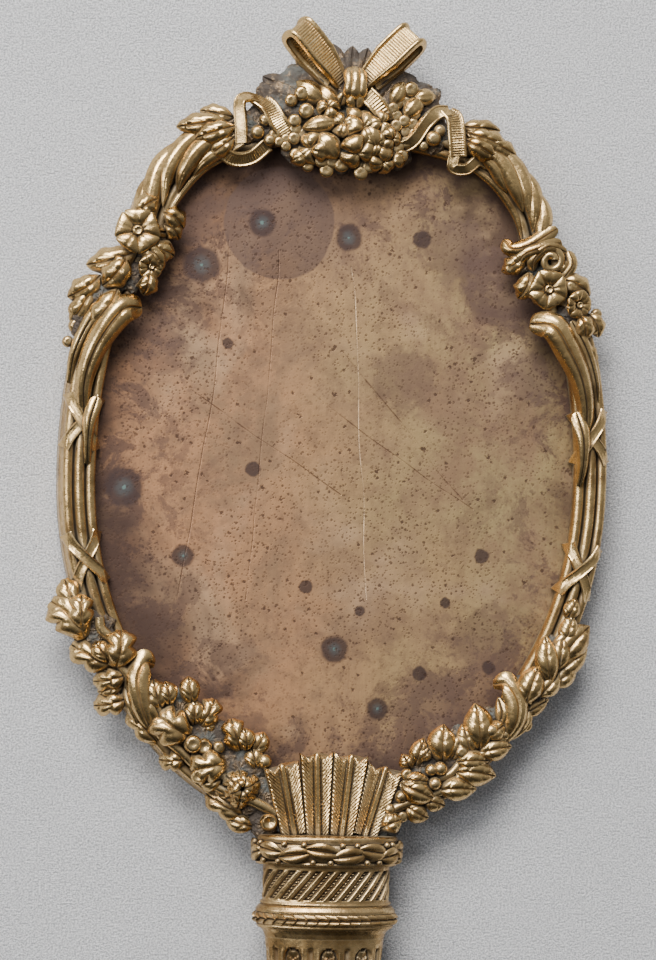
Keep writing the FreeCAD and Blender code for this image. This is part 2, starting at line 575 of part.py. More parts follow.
def base_collar():
    body = turned([
        (SHAFT_END_HALF + 0.4, SHAFT_END_Y), (SHAFT_END_HALF + 1.6, SHAFT_END_Y - 1.0),
        (SHAFT_END_HALF + 1.6, SHAFT_END_Y - 2.4), (SHAFT_END_HALF + 0.2, CALYX_TOP_Y),
    ])
    return body.cut(rod_bore(SHAFT_END_Y, CALYX_TOP_Y))


def leaf_calyx():
    body = turned([
        (9.4, CALYX_TOP_Y), (10.8, CALYX_TOP_Y - 2.0), (10.2, CALYX_TOP_Y - 4.5), (7.6, CALYX_TOP_Y - 7.6),
        (5.4, FINIAL_TOP_Y + 1.0), (5.4, FINIAL_TOP_Y),
    ])
    return body.cut(rod_bore(CALYX_TOP_Y, FINIAL_TOP_Y))


def finial():
    """An acorn that screws on to the end of the tie rod and draws the handle together."""
    cup = Part.makeCylinder(5.0, 2.4, V(0, FINIAL_TOP_Y, HANDLE_Z), V(0, -1, 0))
    lip = Part.makeCylinder(6.0, 2.0, V(0, FINIAL_TOP_Y - 2.4, HANDLE_Z), V(0, -1, 0))
    nut = Part.makeCylinder(5.0, 2.0, V(0, FINIAL_TOP_Y - 4.4, HANDLE_Z), V(0, -1, 0))
    tip = Part.makeCone(5.0, 1.0, FINIAL_TOP_Y - 6.4 - FINIAL_END_Y, V(0, FINIAL_TOP_Y - 6.4, HANDLE_Z), V(0, -1, 0))
    return fused([cup, lip, nut, tip]).removeSplitter().cut(rod_bore(FINIAL_TOP_Y, FINIAL_TOP_Y - 6.0))


def tie_rod():
    return Part.makeCylinder(ROD_R, ROD_TOP_Y - ROD_END_Y, V(0, ROD_END_Y, HANDLE_Z), V(0, 1, 0))


# ---- assembly -----------------------------------------------------------------------------------------------------
def build():
    nodes = {
        "rim_frame": rim_frame(), "back_panel": back_panel(), "backing_card": backing_card(),
        "looking_glass": looking_glass(), "glass_bezel": glass_bezel(), "bezel_screws": bezel_screws(),
        "quiver_mouth": quiver_mouth(), "slotted_drum": slotted_drum(), "lower_moulding": lower_moulding(),
        "fluted_shaft": fluted_shaft(), "base_collar": base_collar(), "leaf_calyx": leaf_calyx(), "finial": finial(),
        "tie_rod": tie_rod(),
        "wreath_band_front": half_ring(WREATH_HALF, WREATH_TOP_Y, WREATH_END_Y, 1.0, True),
        "wreath_band_back": half_ring(WREATH_HALF, WREATH_TOP_Y, WREATH_END_Y, 1.0, False),
        "rope_ring_front": half_ring(ROPE_HALF, ROPE_TOP_Y, ROPE_END_Y, 1.0, True),
        "rope_ring_back": half_ring(ROPE_HALF, ROPE_TOP_Y, ROPE_END_Y, 1.0, False),
    }
    fans = [(-8.6, -12.6, 17.2, 4.4, 8.0), (-2.6, -3.6, 20.6, 4.4, 7.6), (3.2, 4.6, 20.2, 4.4, 8.0),
            (8.8, 13.2, 17.2, 4.2, 8.2)]
    ornaments = {f"fletching_{i + 1}": fletching(*fan) for i, fan in enumerate(fans)}
    ornaments.update({
        "bow_knot": bow_knot(), "left_bow_loop": bow_loop(-1), "right_bow_loop": bow_loop(1),
        "crest_ground": crest_ground(),
        "left_upper_binding": binding(-1, UPPER_BINDING_Y), "right_upper_binding": binding(1, UPPER_BINDING_Y),
        "left_lower_binding": binding(-1, LOWER_BINDING_Y), "right_lower_binding": binding(1, LOWER_BINDING_Y),
        "left_strap": strap(-1), "right_strap": strap(1),
        "blossom_cluster": fused([ball(*blossom) for blossom in CLUSTER]),
        "left_flowers": flower_pair(LEFT_FLOWERS), "right_flowers": flower_pair(RIGHT_FLOWERS),
        "oak_rosette": fused([ball(*ROSETTE[:3], ROSETTE[3] * 0.6)] + flower(*ROSETTE)),
        "left_entwined_ribbon": entwined_ribbon(-1), "right_entwined_ribbon": entwined_ribbon(1),
        "left_arch_sheath": fused([s for leaf in LEFT_SHEATH for s in lying_leaf(*leaf)]),
        "right_arch_sheath": fused([s for leaf in RIGHT_SHEATH for s in lying_leaf(*leaf)]),
        "left_tongue_leaves": fused([s for leaf in LEFT_TONGUE for s in lying_leaf(*leaf)]),
        "right_tongue_leaves": fused([s for leaf in RIGHT_TONGUE for s in lying_leaf(*leaf)]),
        "left_oak_spray": spray(-1, 47, 38, LEFT_OAK_SPRAY),
        "left_oak_garland": spray(-1, 30, 8, LEFT_OAK_GARLAND, LEFT_OAK_BERRIES),
        "right_laurel_spray": spray(1, 54, 38, RIGHT_LAUREL_SPRAY),
        "right_laurel_garland": spray(1, 30, 8, RIGHT_LAUREL_GARLAND, RIGHT_BERRIES),
        "left_shoulder_leaves": spray(-1, 138, 119, LEFT_SHOULDER_LEAVES, LEFT_SHOULDER_BERRIES),
        "right_shoulder_leaves": spray(1, 141, 118, RIGHT_SHOULDER_LEAVES, RIGHT_SHOULDER_BERRIES),
        "left_crest_leaves": spray(-1, 168.5, 165.5, LEFT_CREST_LEAVES),
        "right_crest_leaves": spray(1, 168.5, 165.5, RIGHT_CREST_LEAVES),
    })
    solid_so_far = [rim_room()]
    for name, shape in ornaments.items():
        near = [s for s in solid_so_far if s.BoundBox.intersect(shape.BoundBox)]
        trimmed = shape.cut(near) if near else shape
        kept = sound_solids(trimmed)
        nodes[name] = Part.makeCompound(kept)
        solid_so_far.append(nodes[name])
    return nodes


def main():
    os.makedirs("parts", exist_ok=True)
    nodes = build()
    whole = Part.makeCompound(list(nodes.values())).optimalBoundingBox()
    home = V(-(whole.XMin + whole.XMax) / 2, -(whole.YMin + whole.YMax) / 2, -whole.ZMin)
    print("box", [round(v, 2) for v in (whole.XMin, whole.XMax, whole.YMin, whole.YMax, whole.ZMin, whole.ZMax)])
    print("moved by", [round(v, 3) for v in home])
    for name, shape in nodes.items():
        shape = shape.copy()
        shape.translate(home)
        solids = shape.Solids
        valid = all(s.isValid() and s.isClosed() for s in solids)
        print(f"{name:24s} solids {len(solids):3d} volume {shape.Volume:9.1f} valid {valid}")
        (solids[0] if len(solids) == 1 else Part.makeCompound(solids)).exportStep(f"parts/{name}.step")


main()
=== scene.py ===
import math

import bpy
import numpy as np
from mathutils import Matrix, Vector


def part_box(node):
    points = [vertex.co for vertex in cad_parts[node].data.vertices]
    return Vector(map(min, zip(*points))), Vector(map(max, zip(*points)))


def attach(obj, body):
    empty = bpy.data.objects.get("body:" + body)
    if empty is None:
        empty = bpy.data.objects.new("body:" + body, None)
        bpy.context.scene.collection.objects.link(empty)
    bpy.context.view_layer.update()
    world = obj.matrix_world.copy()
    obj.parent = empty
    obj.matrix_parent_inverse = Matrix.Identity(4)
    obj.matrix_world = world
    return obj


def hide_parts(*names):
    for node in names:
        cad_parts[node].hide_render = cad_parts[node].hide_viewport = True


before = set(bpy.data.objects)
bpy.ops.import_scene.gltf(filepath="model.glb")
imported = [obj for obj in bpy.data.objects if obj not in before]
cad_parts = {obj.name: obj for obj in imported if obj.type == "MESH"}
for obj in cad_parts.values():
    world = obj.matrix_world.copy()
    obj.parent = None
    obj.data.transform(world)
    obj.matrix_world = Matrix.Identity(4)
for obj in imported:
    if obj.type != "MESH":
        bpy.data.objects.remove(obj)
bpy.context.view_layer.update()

# ---- measures ------------------------------------------------------------------------------------
# Everything is drawn in millimetres with Y = 0 at the quiver's mouth and moved into the row frame at the end.
FINIAL_END_Y = -130.0
SHIFT_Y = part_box("finial")[0].y * 1000 - FINIAL_END_Y

RIM_TOP_Y = 170.5
RIM_ARCS = [(-14, 112.0), (-69, 27.0), (28, 18.0), (-25, 57.0), (-12, 150.0), (-42, 93.0)]
RIM_HALF = 3.95
CREST_Z = 11.5
HANDLE_Z = 10.4
FLATNESS = 0.56              # depth of the handle's oval sections over their width
UPPER_BINDING_Y = 98.0
LOWER_BINDING_Y = 65.5
SIDES = ((-1, "left"), (1, "right"))
SHARP_ANGLE = math.radians(38)
LIT_POINT = Vector((0.0, 0.04, 0.0))
CAMERA_DISTANCE = 0.960
VIEW_HEIGHT = 0.2304         # height of the picture at the object, in metres
SENSOR_WIDTH = 36.0

# ---- meshes --------------------------------------------------------------------------------------


class Piece:
    """Collects closed tubes of points, in drawing millimetres, and makes one mesh of them."""

    def __init__(self):
        self.points = []
        self.quads = []
        self.caps = []
        self.count = 0

    def tube(self, rings, closed=False):
        """Rings of equal length, joined in order. A closed tube joins its last ring to its first."""
        rings = np.asarray(rings, float)
        n, m, _ = rings.shape
        start = self.count
        rows = np.arange(n if closed else n - 1)[:, None]
        cols = np.arange(m)[None, :]
        nxt_row, nxt_col = (rows + 1) % n, (cols + 1) % m
        corners = [rows * m + cols, rows * m + nxt_col, nxt_row * m + nxt_col, nxt_row * m + cols]
        self.quads.append(np.stack(corners, -1).reshape(-1, 4) + start)
        self.points.append(rings.reshape(-1, 3))
        if not closed:
            self.caps.append(np.arange(m)[::-1] + start)
            self.caps.append(np.arange(m) + start + (n - 1) * m)
        self.count += n * m

    def make(self, name, material, slot_name, *nodes):
        """Make the mesh in metres in the row frame. nodes are the CAD nodes that it stands for."""
        points = np.vstack(self.points)
        above_table = np.maximum(points[:, 2], 0.0)
        points = np.column_stack([points[:, 0], points[:, 1] + SHIFT_Y, above_table]) / 1000
        quads = np.vstack(self.quads)
        loops = np.concatenate([quads.ravel(), *self.caps]).astype(np.int32)
        sizes = np.concatenate([np.full(len(quads), 4), [len(c) for c in self.caps]]).astype(np.int32)
        starts = np.concatenate([[0], np.cumsum(sizes)[:-1]]).astype(np.int32)
        mesh = bpy.data.meshes.new(name)
        mesh.vertices.add(len(points))
        mesh.vertices.foreach_set("co", points.astype(np.float32).ravel())
        mesh.loops.add(len(loops))
        mesh.loops.foreach_set("vertex_index", loops)
        mesh.polygons.add(len(sizes))
        mesh.polygons.foreach_set("loop_start", starts)
        mesh.polygons.foreach_set("loop_total", sizes)
        mesh.update(calc_edges=True)
        mesh.validate()
        mesh.polygons.foreach_set("use_smooth", np.ones(len(mesh.polygons), bool))
        mesh.set_sharp_from_angle(angle=SHARP_ANGLE)
        mesh.materials.append(material)
        obj = bpy.data.objects.new(name, mesh)
        bpy.context.scene.collection.objects.link(obj)
        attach(obj, "root")
        if nodes:
            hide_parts(*nodes)
        return obj


def unit(v):
    v = np.asarray(v, float)
    return v / np.maximum(np.linalg.norm(v, axis=-1, keepdims=True), 1e-9)


def spline(points, n):
    """n points along a smooth curve through the given ones."""
    p = np.asarray(points, float)
    if len(p) == 2:
        return p[0] + (p[1] - p[0]) * np.linspace(0, 1, n)[:, None]
    p = np.vstack([2 * p[0] - p[1], p, 2 * p[-1] - p[-2]])
    u = np.linspace(0, len(p) - 3 - 1e-9, n)
    i = u.astype(int)
    f = (u - i)[:, None]
    a, b, c, d = p[i], p[i + 1], p[i + 2], p[i + 3]
    return 0.5 * (2 * b + (c - a) * f + (2 * a - 5 * b + 4 * c - d) * f**2 + (3 * b - a - 3 * c + d) * f**3)


def directions(curve, up):
    """Along, side and up directions at each point of a curve."""
    along = unit(np.gradient(curve, axis=0))
    side = unit(np.cross(np.broadcast_to(np.asarray(up, float), curve.shape), along))
    return along, side, np.cross(along, side)


def resampled(curve, shares):
    """Points of a curve at shares of its point count."""
    even = np.linspace(0, 1, len(curve))
    return np.column_stack([np.interp(shares, even, curve[:, k]) for k in range(3)])


def wave(x):
    """A smooth wave from 0 to 1 with period 1, 1 at whole numbers."""
    return 0.5 + 0.5 * np.cos(2 * np.pi * x)


# ---- outlines: half width from 0 to 1, from base to tip ------------------------------------------
def plain(s):
    return np.sin(np.pi * np.clip(s, 0, 1) ** 0.82) ** 0.8 + 0.02


def long_leaf(s):
    return np.minimum(1, s * 4 + 0.35) * (1 - s**3.0) ** 0.8 + 0.02


def tongue(s):
    return (0.3 + 0.7 * s**0.8) * (1 - s**7) ** 0.5 + 0.02


def petal(s):
    return np.sin(np.pi * np.clip(0.04 + 0.96 * s, 0, 1) ** 1.45) ** 0.5 + 0.02


def strip(s):
    return (1 - np.abs(2 * s - 1) ** 5) ** 0.5 + 0.02


def wavy(s):
    return plain(s) * (0.86 + 0.14 * wave(2.7 * s - 0.5))


def oak(s):
    envelope = np.sin(np.pi * np.clip(0.10 + s * 0.90, 0, 1)) ** 0.45
    return envelope * (0.68 + 0.32 * wave(2.3 * s - 0.62) ** 0.45) + 0.02


def blade(piece, spine, width, outline=plain, up=(0, 0, 1), thick=1.1, arch=0.1, bulge=0.16, groove=0.3,
          veins=0, depth=0.22, curl=-0.15, lean=0.25, rows=34, cols=17):
    """A cast leaf or petal along a spine.

    arch raises its middle and bulge its two sides; curl bends its edges and lean sweeps them towards the tip.
    """
    s = (1 - np.cos(np.linspace(0, np.pi, rows))) / 2
    curve = resampled(spline(spine, 161), s)
    if np.ndim(up) == 2:
        up = resampled(np.asarray(up), s)
    along, side, top = directions(curve, up)
    s = s[:, None]
    t = np.sin(np.linspace(-np.pi / 2, np.pi / 2, cols) * 0.999)[None, :]
    a = np.abs(t)
    half = width / 2 * outline(s)
    level = width / 2 * plain(s)
    thin_ends = np.minimum(1, half)
    h = level * (arch * (1 - t**2) + bulge * 4 * a * (1 - a) + curl * a**3)
    h = h - groove * np.exp(-((t / 0.09) ** 2)) * thin_ends
    if veins:
        cut = wave(veins * s - 0.6 * a) ** 12
        h = h - depth * cut * np.clip(a * 6, 0, 1) * np.clip((1.02 - a) * 3, 0, 1) * thin_ends
    across, forward = half * t, lean * half * a
    below = h - thick * np.sqrt(1 - t**4) * thin_ends

    def place(height, kept):
        sideways = side[:, None] * across[:, kept, None] + along[:, None] * forward[:, kept, None]
        return curve[:, None] + sideways + top[:, None] * height[:, kept, None]

    piece.tube(np.concatenate([place(h, slice(None)), place(below, slice(-2, 0, -1))], axis=1))


def leaf(piece, x0, y0, x1, y1, width, z0, z1, outline=plain, rise=1.0, bend=0.0, **shape):
    """A blade from a base to a tip, arched upward by rise and bent sideways by bend."""
    base, tip = np.array([x0, y0, z0]), np.array([x1, y1, z1])
    run = tip - base
    side = unit(np.array([-run[1], run[0], 0])) * bend
    near = base + run * 0.35 + side * 0.9 + (0, 0, rise)
    far = base + run * 0.72 + side * 0.8 + (0, 0, rise * 0.8)
    spine = [base, near, far, tip]
    blade(piece, spine, width, outline, **shape)


def leaves(piece, table, swell, **shape):
    """Leaves from rows of (base X, base Y, tip X, tip Y, width, base Z, tip Z); swell multiplies widths."""
    for x0, y0, x1, y1, width, z0, z1 in table:
        leaf(piece, x0, y0, x1, y1, width * swell, z0, z1, **shape)


def berries(piece, table, **shape):
    """Berries from rows of (X, Y, Z, radius)."""
    for row in table:
        berry(piece, *row, **shape)


def berry(piece, x, y, z, radius, tall=1.0, eye=0.0, rows=14, cols=20):
    """A round fruit; eye presses a small pit into its top."""
    a = np.linspace(0.02, np.pi - 0.02, rows)[:, None]
    b = np.linspace(0, 2 * np.pi, cols, endpoint=False)[None, :]
    up = np.cos(a) * tall - eye * np.exp(-((a / 0.5) ** 2))
    ring = np.stack([np.sin(a) * np.cos(b), np.sin(a) * np.sin(b), up + 0 * b], -1)
    piece.tube(ring * radius + np.array([x, y, z]))


def stem(piece, points, radius, n=40, cols=14):
    curve = spline(points, n)
    _, side, top = directions(curve, (0, 0, 1))
    b = np.linspace(0, 2 * np.pi, cols, endpoint=False)[None, :]
    r = radius * (1 + 0.12 * np.sin(np.linspace(0, 9, n)))[:, None] + 0 * b
    sideways = side[:, None] * (r * np.cos(b))[..., None]
    piece.tube(curve[:, None] + sideways + top[:, None] * (r * np.sin(b))[..., None])


def petals(piece, centre, radius, count, turn, tilt, steps, lift, width, **shape):
    """Petals round a centre; tilt leans their common axis towards X and Y, and every second one is lifted.

    steps gives, along each petal, (share of the radius outward, height, share of the lift).
    """
    axis = unit(np.array([tilt[0], tilt[1], 1.0]))
    right = unit(np.cross([0, 1, 0], axis))
    ahead = np.cross(axis, right)
    for k in range(count):
        angle = turn + 2 * math.pi * k / count
        out = right * math.cos(angle) + ahead * math.sin(angle)
        spine = [centre + out * radius * reach + axis * (height + lift * raised * (k % 2))
                 for reach, height, raised in steps]
        blade(piece, spine, width, petal, up=axis, **shape)
    return axis


def flower(piece, x, y, z, radius, turn, tilt):
    """Five open petals about a ringed button."""
    centre = np.array([x, y, z])
    steps = ((0.12, -0.5, 0), (0.5, 0.25, 1), (0.85, 0.3, 1), (1.0, -0.25, 1))
    axis = petals(piece, centre, radius, 5, turn, tilt, steps, 0.05 * radius, radius * 1.16, arch=0.16,
                  bulge=0.02, groove=0.12, curl=-0.1, lean=0.1, cols=21)
    berry(piece, *(centre + axis * 0.25), radius * 0.24, tall=0.75, eye=0.7)


def blossom(piece, x, y, z, radius, turn, tilt):
    """A half-open blossom: three plump petals folded over one another."""
    centre = np.array([x, y, z])
    steps = ((-0.1, 0.2, 0), (0.45, 0.9, 1), (0.9, 0.2, 1), (1.02, -1.2, 0))
    axis = petals(piece, centre, radius, 3, turn, tilt, steps, 0.35, radius * 1.75, thick=1.4, arch=0.34,
                  bulge=0.06, groove=0.1, curl=-0.3, lean=0.12, rows=28, cols=19)
    berry(piece, *(centre + axis * 0.5), radius * 0.22, tall=0.9)


def floret(piece, x, y, z, radius, turn):
    """Three small round petals pressed together, each with a flat, faintly hollow top."""
    for k in range(3):
        angle = turn + 2 * math.pi * k / 3
        away = radius * 0.72
        berry(piece, x + away * math.cos(angle), y + away * math.sin(angle), z - 0.3 * (k % 2), radius * 0.84,
              tall=0.45, eye=0.14)


def band(piece, path, width, up=(0, 0, 1), thick=0.9, rib=0.0, pitch=0.6, edge=0.12, taper=0.0, rows=150,
         cols=25):
    """A ribbon along a path, ribbed across like grosgrain between two smooth raised edges."""
    curve = spline(path, rows)
    ups = spline(up, rows) if np.ndim(up) == 2 else up
    _, side, top = directions(curve, ups)
    length = np.concatenate([[0], np.cumsum(np.linalg.norm(np.diff(curve, axis=0), axis=1))])[:, None]
    t = np.linspace(-1, 1, cols)[None, :]
    a = np.abs(t)
    inside = np.clip((0.68 - a) * 14, 0, 1)
    h = edge * (1 - inside) * np.sqrt(np.clip(1 - ((a - 0.84) / 0.17) ** 2, 0, 1)) * 2
    h = h - rib * inside * wave(length / pitch) ** 1.5
    half = width / 2 * (np.interp(length, [0, taper + 0.01], [0.55, 1.0]) if taper else 1.0)
    flat = curve[:, None] + side[:, None] * (half * t)[..., None]
    upper, under = (flat + top[:, None] * height[..., None] for height in (h, h - thick))
    piece.tube(np.concatenate([upper, under[:, ::-1]], axis=1))


# ---- the rim -------------------------------------------------------------------------------------
def rim_half(step=0.25):
    """Points and headings of the right half of the rim's centreline, from the top down."""
    x, y, heading = 0.0, RIM_TOP_Y, 0.0
    points = [(x, y, heading)]
    for turn, radius in RIM_ARCS + [(None, None)]:
        if turn is None:
            turn = -180 - math.degrees(heading)
            radius = x / abs(math.sin(heading))
        total = math.radians(turn)
        sign = 1 if turn > 0 else -1
        count = max(4, int(abs(total) * radius / step))
        for k in range(1, count + 1):
            h = heading + total * k / count
            points.append((x + sign * radius * (math.sin(h) - math.sin(heading)),
                           y - sign * radius * (math.cos(h) - math.cos(heading)), h))
        heading += total
        x, y = points[-1][:2]
    return np.array(points)


RIM = rim_half()
RIM_LENGTH = np.concatenate([[0], np.cumsum(np.hypot(*np.diff(RIM[:, :2], axis=0).T))])


def rim_point(side, length, out, z):
    """Points at a length down one side of the rim from its top, moved outward."""
    length, out, z = np.broadcast_arrays(np.asarray(length, float), out, z)
    x = np.interp(length, RIM_LENGTH, RIM[:, 0])
    y = np.interp(length, RIM_LENGTH, RIM[:, 1])
    heading = np.interp(length, RIM_LENGTH, RIM[:, 2])
    return np.stack([side * (x - np.sin(heading) * out), y + np.cos(heading) * out, z], -1)


def length_at(y):
    """How far down the rim a height Y is."""
    return float(np.interp(-y, -RIM[:, 1], RIM_LENGTH))


def crown(out):
    """Height of the rim's rounded top, reeds left out, at a distance across it."""
    a = np.abs(np.asarray(out, float))
    return np.interp(a, [0, 1.2, 2.6, 3.6, 4.2, 4.8], [CREST_Z, 11.3, 10.8, 10.0, 8.8, 6.8])


def rim_section():
    """(outward, Z) round the rim's section, with three reeds."""
    top = np.linspace(RIM_HALF, -RIM_HALF, 61)
    a = np.abs(top)
    middle = CREST_Z - (1 - np.sqrt(np.clip(1 - (a / 1.3) ** 2, 0, 1))) * 1.5
    outer = 9.35 + 1.42 * np.sqrt(np.clip(1 - ((a - 2.68) / 1.3) ** 2, 0, 1))
    z = np.where(a < 1.34, middle, outer)
    groove = 0.5 * np.exp(-(((a - 1.34) / 0.14) ** 2))
    upper = np.column_stack([top, z - groove])
    lower = [(-3.75, 6.0), (-1.4, 6.0), (-1.4, 1.4), (4.6, 1.4), (4.6, 3.0), (4.45, 4.4), (4.5, 4.9),
             (4.25, 5.3)]
    return np.vstack([upper, lower])


def rim_frame():
    piece = Piece()
    section = rim_section()
    lengths = np.linspace(0, RIM_LENGTH[-1], 420)
    right = rim_point(1, lengths[:, None], section[None, :, 0], section[None, :, 1])
    left = rim_point(-1, lengths[::-1][1:-1, None], section[None, :, 0], section[None, :, 1])
    ring = np.concatenate([right, left])
    around = np.linspace(0, 2 * np.pi, len(ring), endpoint=False)[:, None]
    ring[..., 2] += 0.05 * np.sin(around * 57 + 2) * np.sin(around * 23) * (section[None, :, 1] > 8)
    piece.tube(ring, closed=True)
    return piece


def on_rim(side, points, lift):
    """A path given as (length, out) on the rim's crown, lifted off it."""
    p = np.asarray(points, float)
    return rim_point(side, p[:, 0], p[:, 1], crown(p[:, 1]) + lift)


def rim_ribbon(piece, side, points, width, lift, thick=1.1, rows=60, cols=13):
    """A flat ribbon laid on the rim's crown along (length, out) points, following it across its width."""
    path = spline([(p[0], p[1], 0) for p in points], rows)[:, :2]
    along = unit(np.gradient(path, axis=0))
    t = np.linspace(-1, 1, cols)[None, :]
    length = path[:, 0:1] - along[:, 1:2] * t * width / 2
    out = path[:, 1:2] + along[:, 0:1] * t * width / 2
    ridge = 0.28 * np.exp(-(((np.abs(t) - 0.82) / 0.14) ** 2)) - 0.12 * np.exp(-((t / 0.3) ** 2))
    z = crown(out) + lift
    upper = rim_point(side, length, out, z + ridge)
    under = rim_point(side, length, out, z - thick)
    piece.tube(np.concatenate([upper, under[:, ::-1]], axis=1))


def binding(side, y):
    """Two ribbons crossed over the reeds, the second one over the first."""
    piece = Piece()
    mid = length_at(y)
    for lean, lift in ((1, 0.45), (-1, 0.85)):
        points = [(mid + run, out * lean) for run, out in ((-6.4, -3.9), (-3.4, -2.5), (0, 0), (3.4, 2.5),
                                                           (6.4, 3.9))]
        rim_ribbon(piece, side, points, 2.6, lift)
    return piece


# ---- the top of the head -------------------------------------------------------------------------
def bow_loop(side):
    """A ribbon loop: out along its upper face, round its end and back under it, tilted to show its hollow."""
    piece = Piece()
    knot = np.array([side * 4.4 + 0.4, 183.4, 13.0])
    across, onward = (-0.665, 0.747) if side < 0 else (0.70, 0.714)
    reach = unit(np.array([across, onward, 0.05]))
    sideways = np.array([side * onward, -abs(across), 0.0])
    lift = unit(-sideways * 0.46 + np.array([0, 0, 0.89]))
    outline = [(-3.4, -0.6), (0.0, 0.5), (4.0, 1.2), (8.0, 1.5), (12.6, 1.5), (14.7, 0.7), (15.3, -1.4),
               (14.5, -3.5), (12.0, -4.2), (7.0, -4.2), (2.0, -3.2), (-1.4, -2.4)]
    path = [knot + reach * a * 0.95 + lift * b for a, b in outline]
    normals = [(-0.1, 1), (-0.1, 1), (-0.1, 1), (0.0, 1), (0.2, 1), (0.75, 0.66), (1, 0), (0.7, -0.7),
               (0.15, -1), (-0.1, -1), (-0.2, -1), (-0.3, -1)]
    ups = [unit(reach * a + lift * b) for a, b in normals]
    band(piece, path, 7.2, up=ups, thick=1.2, rib=0.16, pitch=0.68, edge=0.34, taper=9.0, rows=460, cols=41)
    web = [knot + reach * 1.0 - lift * 2.0, knot + reach * 5.0 - lift * 3.4, knot + reach * 9.5 - lift * 4.4]
    blade(piece, [p + sideways * 2.0 for p in web], 5.0, plain, up=sideways * 0.4 + np.array([0, 0, 1.0]),
          thick=2.4)
    return piece


def bow_knot():
    piece = Piece()
    for x, radius in ((-0.9, 1.2), (0.75, 1.5), (2.4, 1.2)):
        inward = (x - 0.75) * 0.35
        stem(piece, [(x - inward, 177.6, 13.2), (x, 179.0, 14.8), (x, 181.0, 15.2), (x, 182.6, 14.4),
                     (x - inward, 183.8, 12.8)], radius, n=40, cols=24)
    leaf(piece, 0.6, 179.2, 1.2, 174.6, 4.4, 14.2, 13.8, plain, rise=0.8, groove=0.5, thick=1.6)
    leaf(piece, -1.6, 179.0, -2.6, 175.4, 2.8, 13.6, 12.8, plain, rise=0.6, groove=0.3)
    band(piece, [(3.6, 178.6, 14.0), (5.6, 176.6, 14.8), (7.4, 174.4, 14.8), (8.6, 172.0, 14.0)], 4.2,
         thick=0.9, rib=0.16, pitch=0.8, rows=110)
    return piece


def crest_ground():
    """The jagged leaves that carry the bow."""
    piece = Piece()
    tips = [(-22.5, 179.0, 9), (-21.0, 182.0, 7), (-12.0, 184.5, 9), (-7.0, 186.5, 7), (-4.2, 190.6, 6.5),
            (0.6, 190.3, 6), (4.4, 190.0, 6), (9.0, 186.0, 8), (13.6, 184.0, 9), (20.4, 181.4, 7),
            (21.5, 176.5, 8)]
    for x, y, width in tips:
        x0, y0 = x * 0.25, 172 + (y - 172) * 0.15
        leaf(piece, x0, y0, x, y, width * 1.25, 10.4, 9.8, wavy, rise=1.1, veins=3, depth=0.4, thick=2.4,
             curl=-0.3)
    crust(piece, [(-9, 178, 9), (9, 178, 9), (0, 176, 9), (-17, 175, 6), (17, 176, 6), (0, 168, 8),
                  (-10, 168, 7), (10, 168, 7)], 11.6)
    return piece


def crust(piece, spots, z):
    """Rough ground between the castings: lumpy pads of (x, y, radius)."""
    a = np.linspace(0.02, np.pi - 0.02, 26)[:, None]
    b = np.linspace(0, 2 * np.pi, 60, endpoint=False)[None, :]
    for k, (x, y, radius) in enumerate(spots):
        lump = 1 + 0.10 * np.sin(b * 5 + k) + 0.07 * np.sin(b * 9 + 2 * k) + 0.04 * np.sin(b * 17 + a * 9)
        flat = 1.5 + 0.14 * np.sin(b * 11 + a * 13) + 0.12 * np.sin(b * 4 - a * 17 + k)
        reach = np.sin(a) ** 0.6
        ring = np.stack([reach * np.cos(b) * radius * lump, reach * np.sin(b) * radius * lump,
                         np.cos(a) * flat], -1)
        piece.tube(ring + np.array([x, y, z - 1.5]))


CLUSTER_BLOSSOMS = [
    (1.5, 164.6, 15.2, 3.3, 0.1, -0.5), (2.9, 170.2, 14.8, 3.3, 0.1, 0.2), (-9, 165, 13.8, 3, -0.7, -0.3),
    (5.9, 166.8, 14.6, 2.6, 0.3, -0.2), (7.9, 162.8, 13.6, 2.7, 0.4, -0.6),
    (-1.7, 170.9, 14.4, 2.5, -0.1, 0.3), (7, 171.5, 14.4, 2.4, 0.4, 0.3), (9.6, 168, 14, 2.3, 0.5, -0.1),
    (-5.4, 174.6, 13.6, 2.2, -0.2, 0.4),
]
CLUSTER_FLORETS = [
    (11.8, 172.4, 13.6, 1.6), (14.9, 170.5, 13.2, 1.6), (-5.3, 161.4, 13.2, 1.8), (12.3, 177.4, 12.8, 1.5),
    (-15.8, 166.2, 12.8, 1.3), (3.4, 161, 13.4, 1.8), (11.6, 164.8, 13.2, 1.7), (9.4, 174.6, 13.4, 1.5),
    (-12.6, 168.4, 13, 1.6),
]
CLUSTER_BERRIES = [
    (-13.4, 171.4, 13.2, 1.6), (-10.7, 173.9, 13.6, 1.8), (-14.3, 176.3, 12.8, 1.5), (-11.8, 178, 13, 1.8),
    (14.7, 180.2, 12.4, 1.8), (-1.8, 161.4, 13.4, 1.8), (15.6, 174.2, 12.8, 1.5), (-18, 168, 12.4, 1.4),
    (-12.8, 163.4, 12.6, 1.5), (-9.8, 160.8, 12.4, 1.4), (13.8, 167.4, 12.8, 1.5),
]
CLUSTER_LEAVES = [
    (-7.6, 169, -3.2, 162.6, 5.6, 14.6, 15), (-11.6, 169.8, -3.2, 171.6, 4.2, 13.8, 14.6),
    (-6, 176, -13, 181, 5, 12.4, 11.6), (-3, 175, -8, 180.4, 4.4, 12.8, 11.6),
    (10, 176, 13, 182, 4, 12.4, 12), (13, 173, 17.5, 178.5, 4.4, 12.6, 12.2),
    (3.4, 171.6, 6.2, 165.8, 4.6, 14.2, 15.8), (15, 178, 21, 179, 4, 12, 11.4),
    (-10, 163.6, -14, 161.6, 4, 13, 12), (10, 163, 14, 163.4, 4, 13, 12.2),
    (-1, 175, 2.6, 171.6, 3.6, 13.4, 14.2),
]


